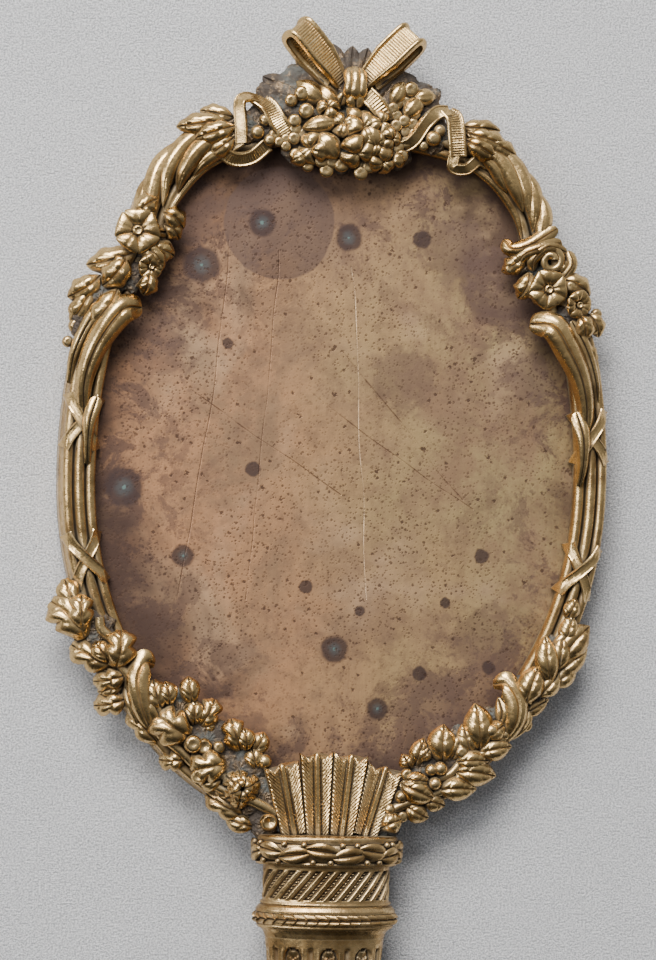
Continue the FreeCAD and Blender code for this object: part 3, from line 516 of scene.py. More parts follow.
def blossom_cluster():
    piece = Piece()
    leaves(piece, CLUSTER_LEAVES, 1.0, groove=0.1, thick=1.5, arch=0.4, bulge=0.04, lean=0.2, rows=44)
    for k, (x, y, z, radius, *tilt) in enumerate(CLUSTER_BLOSSOMS):
        blossom(piece, x, y, z, radius * 1.12, k * 0.9, tilt)
    for k, (x, y, z, radius) in enumerate(CLUSTER_FLORETS):
        floret(piece, x, y, z, radius * 1.15, turn=k * 1.3)
    for x, y, z, radius in CLUSTER_BERRIES:
        berry(piece, x, y, z, radius * 1.05, tall=0.62, eye=0.2)
    return piece


RIBBON_BERRIES = {
    -1: [(-22.2, 168.4, 12.6, 1.7), (-20.4, 171.4, 12.2, 1.5), (-19.2, 166.6, 12.4, 1.5)],
    1: [(20.4, 168.6, 12.8, 1.9), (22, 170.6, 12.2, 1.5), (18.2, 166.8, 12, 1.3)],
}


def entwined_ribbon(side):
    """The ribbon that winds from the cluster round the top of the rim, twisting as it goes."""
    piece = Piece()
    if side < 0:
        band(piece, [(-14.4, 166.8, 12.4), (-17.4, 171.0, 13.4), (-19.6, 174.8, 12.8), (-22.6, 177.0, 11.2)],
             4.4, up=[(-0.3, 0, 1), (-0.1, 0.2, 1), (0.1, 0.5, 1), (0.1, 0.8, 0.8)], rib=0.16, rows=120)
        band(piece, [(-22.0, 176.6, 11.4), (-25.0, 176.9, 12.6), (-26.9, 175.4, 13.2), (-26.6, 170.6, 13.8),
                     (-26.2, 165.6, 13.6)], 3.0,
             up=[(0.6, 0.8, 0.6), (0, 0.8, 0.8), (-0.6, 0.3, 0.8), (-0.55, 0, 1), (-0.5, 0, 1)], rib=0.0,
             rows=90)
        band(piece, [(-26.4, 166.6, 13.0), (-30.2, 163.6, 12.8), (-27.6, 161.6, 12.4), (-23.4, 162.2, 12.4),
                     (-19.4, 165.6, 11.8)], 3.6,
             up=[(-0.3, 0, 1), (-0.3, -0.5, 0.9), (0, -0.6, 0.9), (0.1, -0.5, 1), (0.2, -0.2, 1)], rib=0.16,
             rows=120)
    else:
        band(piece, [(11.6, 165.6, 12.6), (15.4, 167.6, 13.8), (18.6, 172.2, 13.8), (21.4, 175.0, 13.0),
                     (24.4, 175.6, 12.2)], 3.4,
             up=[(0.2, -0.5, 1), (0.3, -0.4, 1), (0.4, -0.3, 1), (0.2, 0.4, 1), (0.3, 0.8, 0.8)], rib=0.0,
             rows=110)
        band(piece, [(23.8, 175.8, 11.8), (25.4, 173.8, 13.4), (26.0, 169.0, 14.2), (26.5, 164.4, 13.8)], 4.2,
             up=[(0.3, 0.7, 0.8), (0.1, 0.3, 1), (0, 0, 1), (0.05, -0.2, 1)], rib=0.18, rows=130)
        band(piece, [(25.6, 165.0, 13.6), (25.4, 161.8, 13.2), (28.6, 161.4, 13.4), (31.8, 163.8, 12.6),
                     (34.2, 163.2, 11.6)], 2.8,
             up=[(-0.4, 0, 1), (-0.2, -0.6, 0.9), (0, -0.5, 1), (0.2, -0.2, 1), (0.3, 0, 1)], rib=0.0,
             rows=90)
    berries(piece, RIBBON_BERRIES[side], eye=0.15)
    return piece


LEFT_CREST = [
    (-27.6, 171.6, -36, 173.2, 4.2, 11.6, 10.6), (-29, 170.8, -41.5, 169, 5.2, 12.4, 10.6),
    (-27.6, 169.6, -37, 166.4, 5.4, 13.2, 12.6), (-27.6, 167, -33.5, 162.4, 4.4, 12.6, 12),
]
RIGHT_CREST = [
    (27, 171.8, 37.2, 171.4, 4.2, 11.4, 10.6), (28.4, 170.4, 39, 167.4, 5, 12.6, 11.4),
    (28, 168.6, 36, 164.6, 5, 13.2, 12.4), (33.4, 168.8, 41.4, 165.4, 4.2, 12, 10.6),
]


def crest_leaves(leaf_rows):
    piece = Piece()
    leaves(piece, leaf_rows, 1.12, outline=wavy, rise=1.2, veins=3, thick=1.6, arch=0.34, lean=0.35, rows=52)
    return piece


ARCH_STRANDS = {
    -1: [([(-0.1, 3.6), (0.2, 3.6), (0.5, 1.8), (0.8, -1.6)], 4.8), ([(-0.1, 0.6), (0.15, 0.8), (0.4, -1),
    (0.62, -3.2)], 4.4), ([(-0.1, -2.4), (0.05, -2), (0.25, -2.6), (0.42, -3.8)], 3.8), ([(0.2, 4.2),
    (0.5, 3.8), (0.8, 1.6), (1.06, -1)], 4.8), ([(0.55, 3.8), (0.75, 3.6), (0.95, 2.2), (1.1, 0.6)], 4),
    ([(-0.05, -3.9), (0.3, -4), (0.7, -4), (1, -3.6)], 2)], 1: [([(-0.1, -3.6), (0.3, -3.7), (0.7, -3.7),
    (1.04, -3.8)], 2.2), ([(-0.1, 2.4), (0.2, 1.2), (0.5, -0.8), (0.72, -2)], 4.4), ([(-0.1, 0.2),
    (0.15, -0.8), (0.3, -2), (0.45, -2.8)], 3.4), ([(0.02, 3.6), (0.3, 3), (0.55, 1), (0.8, -1)], 4.4),
    ([(0.34, 3.8), (0.56, 2.8), (0.76, 0.8), (0.96, -1.2)], 4.4), ([(0.6, 3.8), (0.8, 2.8), (0.95, 1.2),
    (1.1, -0.8)], 4.4)],
}


def arch_sheath(side):
    """Long leaves laid in a twist on the arch, ending in a small inward scroll on the left."""
    piece = Piece()
    top, end = length_at(166.0 if side < 0 else 165.0), length_at(145.0 if side < 0 else 146.5)
    for k, (path, width) in enumerate(ARCH_STRANDS[side]):
        points = [(top + (end - top) * share, out) for share, out in path]
        blade(piece, on_rim(side, points, 1.1 + 0.3 * (k % 2)), width, plain, groove=0.12, arch=0.6,
              bulge=0.0, thick=2.0, rows=60, cols=21)
    if side < 0:
        hook = [(end - 3.0, 0.6), (end + 0.6, -1.2), (end + 0.6, -4.4), (end - 2.0, -6.2)]
        blade(piece, on_rim(side, hook, 2.2), 4.4, tongue, groove=0.3, arch=0.4, thick=1.8, rows=50)
    return piece


# ---- the shoulders -------------------------------------------------------------------------------
LEFT_SHOULDER = [
    (-50, 139, -62, 135.4, 5.4, 11.8, 9.6), (-52.5, 137.6, -58.2, 130.4, 5.4, 12.8, 11.6),
    (-58.5, 133, -66.2, 127.6, 5, 11, 9.4), (-54.5, 130, -60.6, 120.4, 5.6, 12.4, 12.2),
    (-47.5, 139, -41, 138.2, 4.6, 11.6, 10.4), (-49.5, 141, -44, 134.6, 4.4, 11.8, 12.2),
    (-47.6, 134, -48.4, 128.6, 4.2, 12, 11.2), (-61, 130, -65.4, 121.6, 4.4, 10.4, 9.8),
    (-50.5, 147.5, -45.6, 151.5, 4.2, 12.2, 12.6), (-44.4, 148.4, -39.2, 144.6, 4.6, 12.6, 10.8),
    (-44, 145.6, -40, 142, 3.4, 12, 10.6),
]
LEFT_SHOULDER_BERRIES = [(-64.4, 124.6, 10.2, 1.7), (-64.0, 120.8, 10.0, 1.9), (-65.8, 117.0, 9.4, 1.4),
                         (-54.4, 136.2, 13.2, 1.5), (-57.6, 137.0, 11.6, 1.3)]
RIGHT_SHOULDER = [
    (45, 137.5, 42.6, 131, 4.6, 12.2, 11), (43.4, 142, 38.6, 137.4, 4, 11.8, 10.2),
    (53, 136, 60.6, 132.2, 4.6, 11.8, 9.8), (57.6, 127.4, 59.2, 121.6, 4.4, 12.2, 11),
    (60, 128, 63.2, 122.4, 3.8, 10.4, 9.4), (59.8, 121, 60.8, 114.6, 3.4, 10.4, 9.4),
    (51.5, 137, 55.4, 142.2, 4.2, 11.6, 10.2), (46.4, 135.4, 47, 129.6, 4, 12.4, 11.8),
]
RIGHT_SHOULDER_BERRIES = [(61.6, 124.4, 10.2, 1.5), (61.2, 117.6, 9.8, 1.4), (40.4, 138.2, 11.4, 1.5),
                          (55.2, 134.4, 12.4, 1.4), (62.4, 128.0, 9.8, 1.4)]


def shoulder_leaves(leaf_rows, berry_rows):
    piece = Piece()
    leaves(piece, leaf_rows, 1.3, outline=wavy, rise=1.2, bend=0.6, veins=3, thick=1.5, arch=0.34, rows=52)
    berries(piece, berry_rows, eye=0.25)
    return piece


def volute(piece, x, y, z, radius, width, hand, start):
    """A scroll: a rounded band wound in on itself."""
    a = np.linspace(0, 1.35 * 2 * np.pi, 70)
    share = a / a[-1]
    r = radius * (1 - 0.72 * share)
    path = np.column_stack([x + r * np.cos(start + hand * a), y + r * np.sin(start + hand * a),
                            z + 0.9 * share])
    stem(piece, path, width / 2, n=90, cols=16)


def left_flowers():
    piece = Piece()
    flower(piece, -50.4, 143.8, 14.2, 5.2, turn=0.35, tilt=(-0.1, 0.05))
    flower(piece, -46.8, 135.4, 13.2, 3.1, turn=0.9, tilt=(0.25, -0.3))
    return piece


def right_flowers():
    piece = Piece()
    flower(piece, 49.5, 133.4, 14.2, 4.6, turn=0.2, tilt=(0.05, -0.1))
    flower(piece, 57.4, 130.0, 12.9, 3.5, turn=0.8, tilt=(0.5, -0.2))
    volute(piece, 50.0, 140.4, 12.8, 3.1, 1.9, -1, start=2.4)
    scrolls = [([(38.6, 145.2, 11.2), (40.4, 143.0, 12.4), (44.6, 143.8, 13.6), (51.4, 148.2, 13.4)], 3.8),
               ([(41.6, 137.6, 11.6), (43.2, 141.4, 13.4), (47.4, 143.2, 14.2), (52.6, 144.8, 13.2)], 3.6),
               ([(45.6, 137.6, 12.6), (45.8, 140.6, 13.8), (49.0, 143.6, 14.2), (54.0, 142.6, 12.6)], 2.8),
               ([(54.4, 143.0, 12.6), (55.4, 139.6, 13.0), (53.6, 136.4, 12.6)], 2.6)]
    for spine, width in scrolls:
        blade(piece, spine, width, strip, groove=0.3, arch=0.5, bulge=0.1, thick=1.9, rows=50)
    return piece


LEFT_TONGUES = [
    ([(-61.4, 99, 11.2), (-62, 106.5, 12.6), (-60.4, 113.6, 13.6), (-57.2, 120, 14.4), (-53, 125, 14.4),
    (-48.6, 125.6, 12)], 8.4), ([(-65.2, 107, 9.6), (-64.4, 114, 11.2), (-61.6, 121, 12.4),
    (-57.4, 127.4, 12.8)], 4), ([(-60.4, 88, 11.2), (-60.6, 94, 12.4), (-60.2, 99, 13.2),
    (-58.6, 104, 12.6)], 4.4),
]
RIGHT_TONGUES = [
    ([(60, 97, 11.2), (60, 104.5, 12.6), (58.2, 112, 13.6), (54.8, 118.6, 14.4), (50.8, 124.4, 14.6),
    (45.6, 125, 12)], 8.4), ([(63.4, 104, 9.8), (62.4, 111.4, 11.2), (59.8, 119, 12.2),
    (55.8, 126, 12.6)], 3.8), ([(59.2, 86, 11.2), (59.6, 92, 12.6), (59.2, 98, 13.4),
    (57.6, 104, 12.6)], 4.8),
]


def tongues(rows):
    piece = Piece()
    for spine, width in rows:
        blade(piece, spine, width, tongue, groove=0.4, arch=0.32, bulge=0.14, thick=2.0, curl=-0.2, rows=70,
              cols=21)
    return piece


# ---- the garlands --------------------------------------------------------------------------------
LEFT_OAK_SPRAY = [
    (-59.6, 51, -65, 60.6, 5.6, 9.8, 10.4, 0.6), (-59.6, 46.6, -68, 55.2, 8.8, 11.2, 10.2, -0.8),
    (-60.6, 48.6, -61, 57, 5.6, 12.4, 12.8, 0.3), (-52.8, 40.6, -62.8, 45, 6.4, 11.2, 9.4, 0.5),
    (-52.4, 39.6, -51.4, 48.8, 7.2, 12.4, 13, -0.3), (-54, 41, -57.6, 46, 4.2, 12.2, 12.6, 0),
    (-50, 38.2, -57.4, 36.4, 5, 12.2, 10, 0.3), (-49.4, 32.6, -57, 30.6, 5.2, 11.2, 8.8, 0.4),
    (-50.4, 35.4, -56.2, 33.8, 4.2, 11, 9.2, -0.3),
]
LEFT_OAK_GARLAND = [
    (-41.4, 22, -48.4, 30, 5.2, 10.4, 9.2, 0.3), (-41.2, 30, -43.4, 37.2, 5, 12.2, 12.8, 0.3),
    (-39.4, 31, -40.6, 37, 4, 12.6, 13.2, -0.2), (-34, 23.6, -42.6, 29.2, 8.6, 12.4, 12.6, 0.4),
    (-33.6, 31, -35, 38.2, 4.4, 11, 12.6, 0.2), (-33, 26.4, -33.2, 32.6, 4.4, 11, 12.2, 0.2),
    (-32, 26, -28.4, 32.8, 5.2, 10.4, 11.8, -0.3), (-31, 26, -28, 27.2, 3, 10, 10.6, 0),
    (-35.2, 18.4, -41, 18, 4.6, 11.2, 8.8, 0.3), (-25, 17.4, -33.6, 15.6, 7.4, 12.2, 13.2, -0.4),
    (-26, 14, -31.6, 13.2, 4.4, 11.4, 11, 0.2), (-21.6, 20.4, -24.4, 28.2, 5.4, 11, 12.8, 0.3),
    (-20.4, 20.6, -21.2, 26.2, 4, 11.6, 13, 0), (-19.4, 19.4, -16.2, 25.2, 4.2, 9.6, 10.8, -0.4),
    (-20, 4.6, -29.4, 10, 5, 9.6, 9.4, 0.3), (-17.6, 2.4, -24.6, 4.4, 4.2, 10, 9, 0.2),
    (-22, 8, -27.6, 13, 4.4, 10, 9.6, 0), (-17.8, 16, -19.2, 21.6, 4, 10.6, 11.2, 0),
]
LEFT_BERRIES = [
    (-33.6, 22.2, 13.8, 2.2, 0.4), (-30.8, 21.6, 12.8, 2, 0.6), (-32.2, 14.6, 13.8, 1.7, 0.6),
    (-14.6, 3.8, 12.4, 2.2, 0.7), (-16, 18.2, 11.8, 1.8, 0), (-27.2, 21.4, 12, 1.6, 0.2),
]
RIGHT_LAUREL_SPRAY = [
    (56.8, 53.6, 59.2, 59, 3.6, 10.4, 11, 0), (55, 43, 62.8, 52.4, 6.6, 10.4, 10.6, 0.6),
    (53.4, 40, 62.6, 47, 5, 10.2, 9.6, -0.2), (53.4, 38, 60, 42.6, 4.6, 10.2, 9, -0.3),
    (53, 38, 51.4, 50, 5.2, 12.6, 13.2, 0.4), (54.6, 41.2, 55.6, 50.4, 4.4, 11.6, 12, -0.2),
    (46.8, 33, 49.8, 42.6, 5.8, 12.6, 13.4, 0.3), (50, 35.2, 55.2, 41, 4.6, 11.6, 11.6, -0.3),
    (56.4, 47.4, 58.4, 55, 4.2, 11, 11.4, 0.2),
]
RIGHT_LAUREL_GARLAND = [
    (46.4, 30, 53.6, 34.4, 3.4, 10.4, 9.2, 0.3), (36, 21.6, 34.6, 33.2, 6.6, 12, 12.8, -0.4),
    (34.4, 20.4, 31.8, 28.2, 4.4, 11.4, 12.4, 0.3), (27.2, 18.6, 27.2, 28, 6.4, 11.2, 12.6, 0.3),
    (29.4, 19.2, 31.4, 26, 4.2, 11, 12, -0.3), (35.8, 21, 44.4, 23, 5, 12, 11, 0.3),
    (37.4, 24.8, 42.4, 28.4, 4.4, 12.4, 12.2, 0.2), (30.2, 16.6, 40.8, 15.6, 5.8, 12.2, 10.6, 0.4),
    (30.4, 19, 38.8, 19.4, 4.4, 12.6, 11.6, 0.3), (20.4, 17.2, 22.6, 24.6, 4, 10.8, 12, 0.2),
    (19.6, 16.6, 17.4, 20.6, 3.4, 10.8, 11.4, 0), (16.8, 13.8, 25.6, 10.2, 5.2, 13, 12.6, -0.3),
    (17.4, 14.6, 24.4, 14, 3.6, 12.8, 13, 0.2), (26, 12.2, 36, 12.4, 5.2, 12, 11, 0.3),
    (18.4, 8.4, 24.6, 5.2, 4.4, 11.6, 10.4, -0.3), (22.6, 9.6, 28.6, 8.2, 4, 11.4, 10.2, 0.2),
    (12.4, 2.8, 17.8, 5.2, 4.6, 12.6, 12.4, 0.2), (40, 28.4, 45.6, 29.4, 3.4, 11.6, 10.4, 0),
    (21.4, 19, 24.2, 22.4, 3, 11.4, 12, 0),
]
RIGHT_BERRIES = [
    (47.6, 28.2, 10.6, 1.8, 0.3), (38.6, 26.8, 13.8, 1.8, 0), (31.6, 21.4, 13, 1.6, 0.2),
    (26.4, 17.4, 13.8, 1.7, 0), (24.2, 17, 13.6, 1.5, 0), (25.2, 13.8, 13.8, 1.6, 0),
    (18.4, 15.8, 13, 1.5, 0.3), (17.2, 10.4, 12.8, 1.6, 0), (14.4, 7.4, 13, 1.4, 0),
    (17.8, 5.6, 11.8, 1.5, 0.2), (33.6, 17.8, 13, 1.3, 0), (42.2, 25.8, 12.2, 1.4, 0),
    (21, 12.6, 13.6, 1.2, 0), (51, 37.6, 12.6, 1.4, 0),
]


def garland(leaf_rows, outline, berry_rows=(), stems=(), veins=3, lean=0.35):
    """Leaves, berries and the stems that carry them. Leaves up to 4.5 wide are plain."""
    piece = Piece()
    for x0, y0, x1, y1, width, z0, z1, bend in leaf_rows:
        shape = outline if width > 4.5 else plain
        leaf(piece, x0, y0, x1, y1, width * 1.14, z0, z1, shape, rise=1.5, bend=bend, veins=veins, thick=1.6,
             arch=0.34, bulge=0.12, lean=lean, curl=-0.2, rows=60, cols=23)
    for x, y, z, radius, eye in berry_rows:
        berry(piece, x, y, z, radius, eye=eye)
    for side, y0, y1, out in stems:
        lengths = np.linspace(length_at(y0), length_at(y1), 8)
        wobble = out + 0.6 * np.sin(np.arange(8) * 1.9)
        stem(piece, on_rim(side, np.column_stack([lengths, wobble]), 0.7), 1.15, n=50)
    return piece


def strap(side):
    """The broad leaf-like strap rolled round the rim above each garland."""
    piece = Piece()
    if side < 0:
        curl = [(-42.8, 41.0, 11.2), (-45.4, 41.4, 13.2), (-47.2, 37.8, 14.2), (-46.6, 32.4, 14.2),
                (-44.6, 27.4, 13.0), (-42.0, 23.4, 11.0)]
        fold = [(-49.8, 36.6, 11.0), (-48.4, 31.8, 12.6), (-46.4, 27.2, 12.0), (-45.0, 23.6, 10.0)]
        inner = [(-44.0, 34.6, 12.4), (-42.8, 30.6, 13.4), (-40.6, 26.8, 12.6)]
    else:
        curl = [(39.2, 37.8, 11.0), (42.0, 38.0, 13.2), (44.6, 34.2, 14.2), (44.8, 29.6, 14.0),
                (43.0, 25.6, 12.4), (40.2, 23.0, 11.0)]
        fold = [(47.8, 33.2, 11.0), (47.6, 29.6, 12.2), (45.8, 26.6, 11.6), (43.6, 24.0, 10.0)]
        inner = [(40.4, 34.8, 12.6), (41.4, 31.0, 13.2), (40.8, 27.4, 12.4)]
    blade(piece, curl, 6.0, long_leaf, up=(side * 0.2, 0, 1), groove=0.3, arch=0.3, bulge=0.1, thick=1.6,
          rows=60)
    blade(piece, fold, 4.2, long_leaf, up=(side * 0.6, 0, 1), groove=0.2, arch=0.25, thick=1.6, rows=40)
    blade(piece, inner, 4.2, plain, up=(-side * 0.5, 0, 1), groove=0.3, arch=0.25, thick=1.6, rows=40)
    return piece


def oak_rosette():
    """A crumpled tuft of small oak leaves."""
    piece = Piece()
    middle = np.array([-21.6, 11.8])
    for count, reach, width, z in ((6, 5.0, 4.4, 13.4), (4, 3.3, 3.6, 15.0)):
        for k in range(count):
            angle = 0.4 + 2 * math.pi * k / count + 0.25 * (k % 2)
            out = np.array([math.cos(angle), math.sin(angle)])
            leaf(piece, *(middle + out * 0.4), *(middle + out * (reach - 0.7 * (k % 2))), width, z + 0.3,
                 z - 1.4, oak, rise=1.5, veins=2, thick=1.4, arch=0.3, lean=0.3, rows=48)
    return piece


# ---- the quiver ----------------------------------------------------------------------------------
WREATH_HALF = 17.5
DRUM_MIDDLE_Y = -10.8
DRUM_SLOTS = 25
SLOT_SLOPE = math.radians(50)
ROPE_Y = -19.0
ROPE_R = 1.5
ROPE_COLS = 640
SHAFT_TOP, SHAFT_END = (14.4, -23.5), (10.2, -102.0)
NICHE_TOP_Y, NICHE_END_Y = -25.8, -98.5
FEATHERS = [
    (-8.4, -12, 17.8, 5.9, 8.8, 0.2, -0.3), (-2.7, -3.5, 20.6, 5.5, 8.2, 0, 0),
    (3, 4.9, 20.4, 5.5, 8.6, 0.3, 0.2), (8.7, 13.4, 17.6, 5.9, 9, 0.1, 0.3),
]


def fletching(base_x, tip_x, tip_y, base_width, tip_width, lift, roll):
    """One arrow fletching: two combed vanes on a round quill, the ends notched."""
    piece = Piece()
    rows, cols = 110, 45
    base, tip = np.array([base_x, 0.9]), np.array([tip_x, tip_y])
    run = tip - base
    length = np.linalg.norm(run)
    ahead = run / length
    side = np.array([ahead[1], -ahead[0]])
    s = np.linspace(0, 1, rows)[:, None]
    t = np.linspace(-1, 1, cols)[None, :]
    a = np.abs(t)
    notch = 1.5 * (1 - np.abs(2 * a - 1)) ** 1.2
    along = s * (length - notch)
    half = (base_width + (tip_width - base_width) * s**0.85) / 2
    across = half * t
    comb = wave((along - np.abs(across) * 1.25) / 0.95) * np.clip((1 - a) * 7, 0, 1)
    z = 13.6 + lift + roll * t - 0.35 * a**2 - 0.26 * comb * np.clip((a - 0.17) * 12, 0,
                                                                     1) - 0.25 * (a - 0.6) ** 2 * 4
    z = z + 0.55 * np.exp(-((across / 0.55) ** 4)) - 0.45 * np.exp(-(((np.abs(across) - 0.85) / 0.22) ** 2))
    z = z - 0.9 * np.exp(-((1 - a) / 0.05)) - 0.5 * np.exp(-((1 - s) / 0.02))
    flat_x = base[0] + ahead[0] * along + side[0] * across
    flat_y = base[1] + ahead[1] * along + side[1] * across
    upper = np.stack([flat_x, flat_y, z], -1)
    under = np.stack([flat_x, flat_y, 0 * z + 11.55], -1)
    piece.tube(np.concatenate([upper, under[:, ::-1]], axis=1))
    return piece


def oval_skin(ys, halves, relief, cols):
    """Rings of an oval form, half widths at ys. relief(share round it, y, whole way round) goes outward."""
    angle = np.linspace(0, 2 * np.pi, cols, endpoint=False)
    x, z = np.cos(angle), FLATNESS * np.sin(angle)
    step = np.hypot(np.diff(np.append(x, x[0])), np.diff(np.append(z, z[0])))
    share = 0.25 - (np.concatenate([[0], np.cumsum(step)[:-1]]) / step.sum())[None, :]
    ys = np.asarray(ys, float)[:, None]
    halves = np.asarray(halves, float)[:, None]
    out = unit(np.stack([np.cos(angle) * FLATNESS, np.sin(angle)], -1))
    points = np.stack([halves * x[None], 0 * share + ys, HANDLE_Z + halves * z[None]], -1)
    if relief:
        grow = relief(share, ys, halves * step.sum())
        points[..., 0] += grow * out[None, :, 0]
        points[..., 2] += grow * out[None, :, 1]
    return points


def turned(points, cols, relief=None, fine=0.16):
    """A closed oval form from (half width, Y) points, with rings about every fine mm."""
    piece = Piece()
    rows = []
    for (a0, y0), (a1, y1) in zip(points, points[1:]):
        n = max(2, int(math.hypot(a1 - a0, y1 - y0) / fine))
        rows += [(a0 + (a1 - a0) * k / n, y0 + (y1 - y0) * k / n) for k in range(n)]
    halves, ys = zip(*rows, points[-1])
    piece.tube(oval_skin(ys, halves, relief, cols))
    return piece


def quiver_mouth():
    return turned([(15.8, 0.9), (16.6, 0.8), (17.0, 0.5), (17.1, 0.0), (16.9, -0.7), (16.3, -0.9),
                   (16.4, -5.1), (16.9, -5.2), (17.3, -5.6), (17.1, -6.1), (16.4, -6.3), (15.6, -6.4)],
                   cols=220)


def on_wreath(angle, y, half=WREATH_HALF):
    return np.array([half * math.cos(angle), y, HANDLE_Z + half * FLATNESS * math.sin(angle)])


def wreath_leaves(front):
    """Half of the laurel band round the mouth: overlapping pointed leaves with beads at their joints."""
    piece = Piece()
    start = 0 if front else math.pi
    section = ((-0.85, 16.4), (-1.2, 17.1), (-2.2, 17.5), (-3.8, 17.5), (-4.8, 17.1), (-5.15, 16.4),
               (-5.15, 15.4), (-0.85, 15.4))
    piece.tube([[on_wreath(start + a, y, half) for y, half in section] for a in np.linspace(0, math.pi, 60)])
    for k, mark in enumerate((0.05, 0.185, 0.325, 0.455, 0.575, 0.695, 0.815, 0.915)):
        middle = math.pi * (1 - mark) + start
        high, drift = ((-3.4, 0.9), (-2.4, -0.8))[k % 2]
        spots, ups = [], []
        for i, offset in enumerate(np.linspace(0.26, -0.26, 5)):
            a = middle + offset
            ups.append(unit(np.array([FLATNESS * math.cos(a), 0, math.sin(a)])))
            spot = on_wreath(a, high + drift * (i / 4 - 0.5) * 1.4)
            spots.append(spot + ups[-1] * (0.15 + 0.5 * math.sin(math.pi * (i + 0.5) / 5)))
        blade(piece, spots, 3.9, up=spline(ups, 34), arch=0.05, bulge=0.22, curl=0.1)
        for offset in (-0.27, 0.27):
            a = middle + offset
            berry(piece, WREATH_HALF * math.cos(a), high - drift * 1.8,
                  HANDLE_Z + 17.6 * FLATNESS * math.sin(a), 0.75, rows=9, cols=12)
    return piece


def drum_relief(share, y, around):
    """Slots rising to the right round the drum, each with a row of beads in it."""
    middle = y - DRUM_MIDDLE_Y
    phase = share * DRUM_SLOTS - middle / (3.1 * math.tan(SLOT_SLOPE))
    off = (phase - np.round(phase)) * 3.05 * math.sin(SLOT_SLOPE)
    ends = np.clip((3.55 - np.abs(middle)) * 4, 0, 1)
    slot = ends / (1 + np.exp((np.abs(off) - 0.5) * 14))
    run = middle / math.sin(SLOT_SLOPE)
    bead = np.abs(np.cos(np.pi * run / 0.95)) ** 0.7 * np.clip(1 - (off / 0.42) ** 2, 0, 1)
    lip = 0.10 * np.exp(-(((off - 0.95) / 0.3) ** 2)) * ends
    return -0.95 * slot + 0.62 * bead * slot + lip


def slotted_drum():
    return turned([(15.5, -6.25), (15.35, -6.7), (15.3, -7.0), (15.3, -14.6), (15.4, -15.0)], cols=560,
                  relief=drum_relief, fine=0.14)


def lower_moulding():
    return turned([(15.4, -14.95), (15.7, -15.05), (15.9, -15.4), (15.7, -15.8), (16.2, -16.1), (16.9, -16.9),
                   (16.9, -17.5), (16.3, -17.6), (16.3, -20.4), (16.5, -20.5), (16.6, -20.9), (16.3, -21.35),
                   (15.6, -21.5), (14.9, -22.4), (14.5, -23.5)], cols=200)


def rope_relief(share, y, around):
    """Overlapping grains in chevrons that point to the right."""
    v = (y - ROPE_Y) / ROPE_R
    phase = share * 33 + np.abs(v) * 0.55 + 0.12
    saw = phase - np.floor(phase)
    return 0.75 * saw**1.4 * np.sqrt(np.clip(1 - v**2, 0, 1)) - 0.45 * np.exp(-((v / 0.16) ** 2))


def rope_half(front):
    """Half of the corded ring below the drum."""
    piece = Piece()
    v = np.linspace(1, -1, 31)
    rings = oval_skin(ROPE_Y + ROPE_R * v, 16.35 + 0.75 * np.sqrt(1 - v**2), rope_relief, ROPE_COLS)
    chosen = np.arange(ROPE_COLS // 2 + 1) + (0 if front else ROPE_COLS // 2)
    skin = rings[:, chosen % ROPE_COLS]
    centre = np.array([0, ROPE_Y, HANDLE_Z])
    core = skin.mean(axis=0, keepdims=True).repeat(2, axis=0)
    core = centre + (core - centre) * np.array([0.93, 1, 0.93])
    core[0, :, 1], core[1, :, 1] = ROPE_Y - ROPE_R, ROPE_Y + ROPE_R
    piece.tube(np.concatenate([skin, core]).transpose(1, 0, 2))
    return piece


def shaft_relief(share, y, around):
    """Eight round-headed niches filled with husks, and a narrow slot between each pair."""
    size = around / 16
    count = share * 8
    wide_off = np.abs(count - np.round(count)) * 2 * size
    thin_off = np.abs(count - np.floor(count) - 0.5) * 2 * size
    top, end = NICHE_TOP_Y, NICHE_END_Y
    scale = around / 72.0
    half = 2.15 * scale
    head = np.clip((top - y) / half, 0, 1)
    foot = np.clip((y - end) / half, 0, 1)
    reach = half * np.sqrt(np.clip(1 - (1 - head) ** 2, 0, 1)) * np.sqrt(np.clip(1 - (1 - foot) ** 2, 0, 1))
    inside = 1 / (1 + np.exp((wide_off - reach) * 11))
    inside = inside * (y < top) * (y > end)
    husk = (y - 0.55 * wide_off) / 1.9
    husk = husk - np.floor(husk)
    filling = (0.95 - 0.35 * (wide_off / half) ** 2) * (0.35 + 0.65 * husk**0.8)
    wide = inside * (-1.35 + filling * np.clip((reach - 0.25 - wide_off) * 3, 0, 1))
    ends = np.clip((top - y) * 1.6, 0, 1) * np.clip((y - end) * 1.6, 0, 1)
    thin = -1.0 * ends / (1 + np.exp((thin_off - 0.55 * scale) * 12))
    bead = 0.14 * np.exp(-(((wide_off - half - 0.42) / 0.2) ** 2)) * ends
    return wide + thin + bead


def fluted_shaft():
    return turned([SHAFT_TOP, SHAFT_END], cols=420, relief=shaft_relief, fine=0.4)


def collar_beads(share, y, around):
    return 0.45 * np.abs(np.sin(np.pi * share * 44)) ** 0.7 * np.exp(-(((y + 104.0) / 0.75) ** 4))


def base_collar():
    return turned([(10.6, -102.0), (11.3, -102.2), (11.7, -102.8), (11.4, -103.2), (11.3, -104.9),
                   (10.9, -105.3), (10.2, -105.5)], cols=440, relief=collar_beads, fine=0.14)


def calyx_relief(share, y, around):
    lobes = np.abs(np.cos(np.pi * share * 12))
    rib = -0.5 * np.exp(-((lobes / 0.16) ** 2))
    vein = -0.25 * np.exp(-(((1 - lobes) / 0.02) ** 2)) - 0.12 * wave((y + lobes * 2.2) / 1.1)
    return (rib + vein) * np.clip((-105.9 - y) * 2, 0, 1)


def leaf_calyx():
    return turned([(9.4, -105.5), (10.2, -106.0), (10.8, -107.4), (10.6, -109.2), (9.6, -111.4),
                   (7.8, -113.4), (6.0, -114.8), (5.6, -116.0)], cols=300, relief=calyx_relief, fine=0.2)


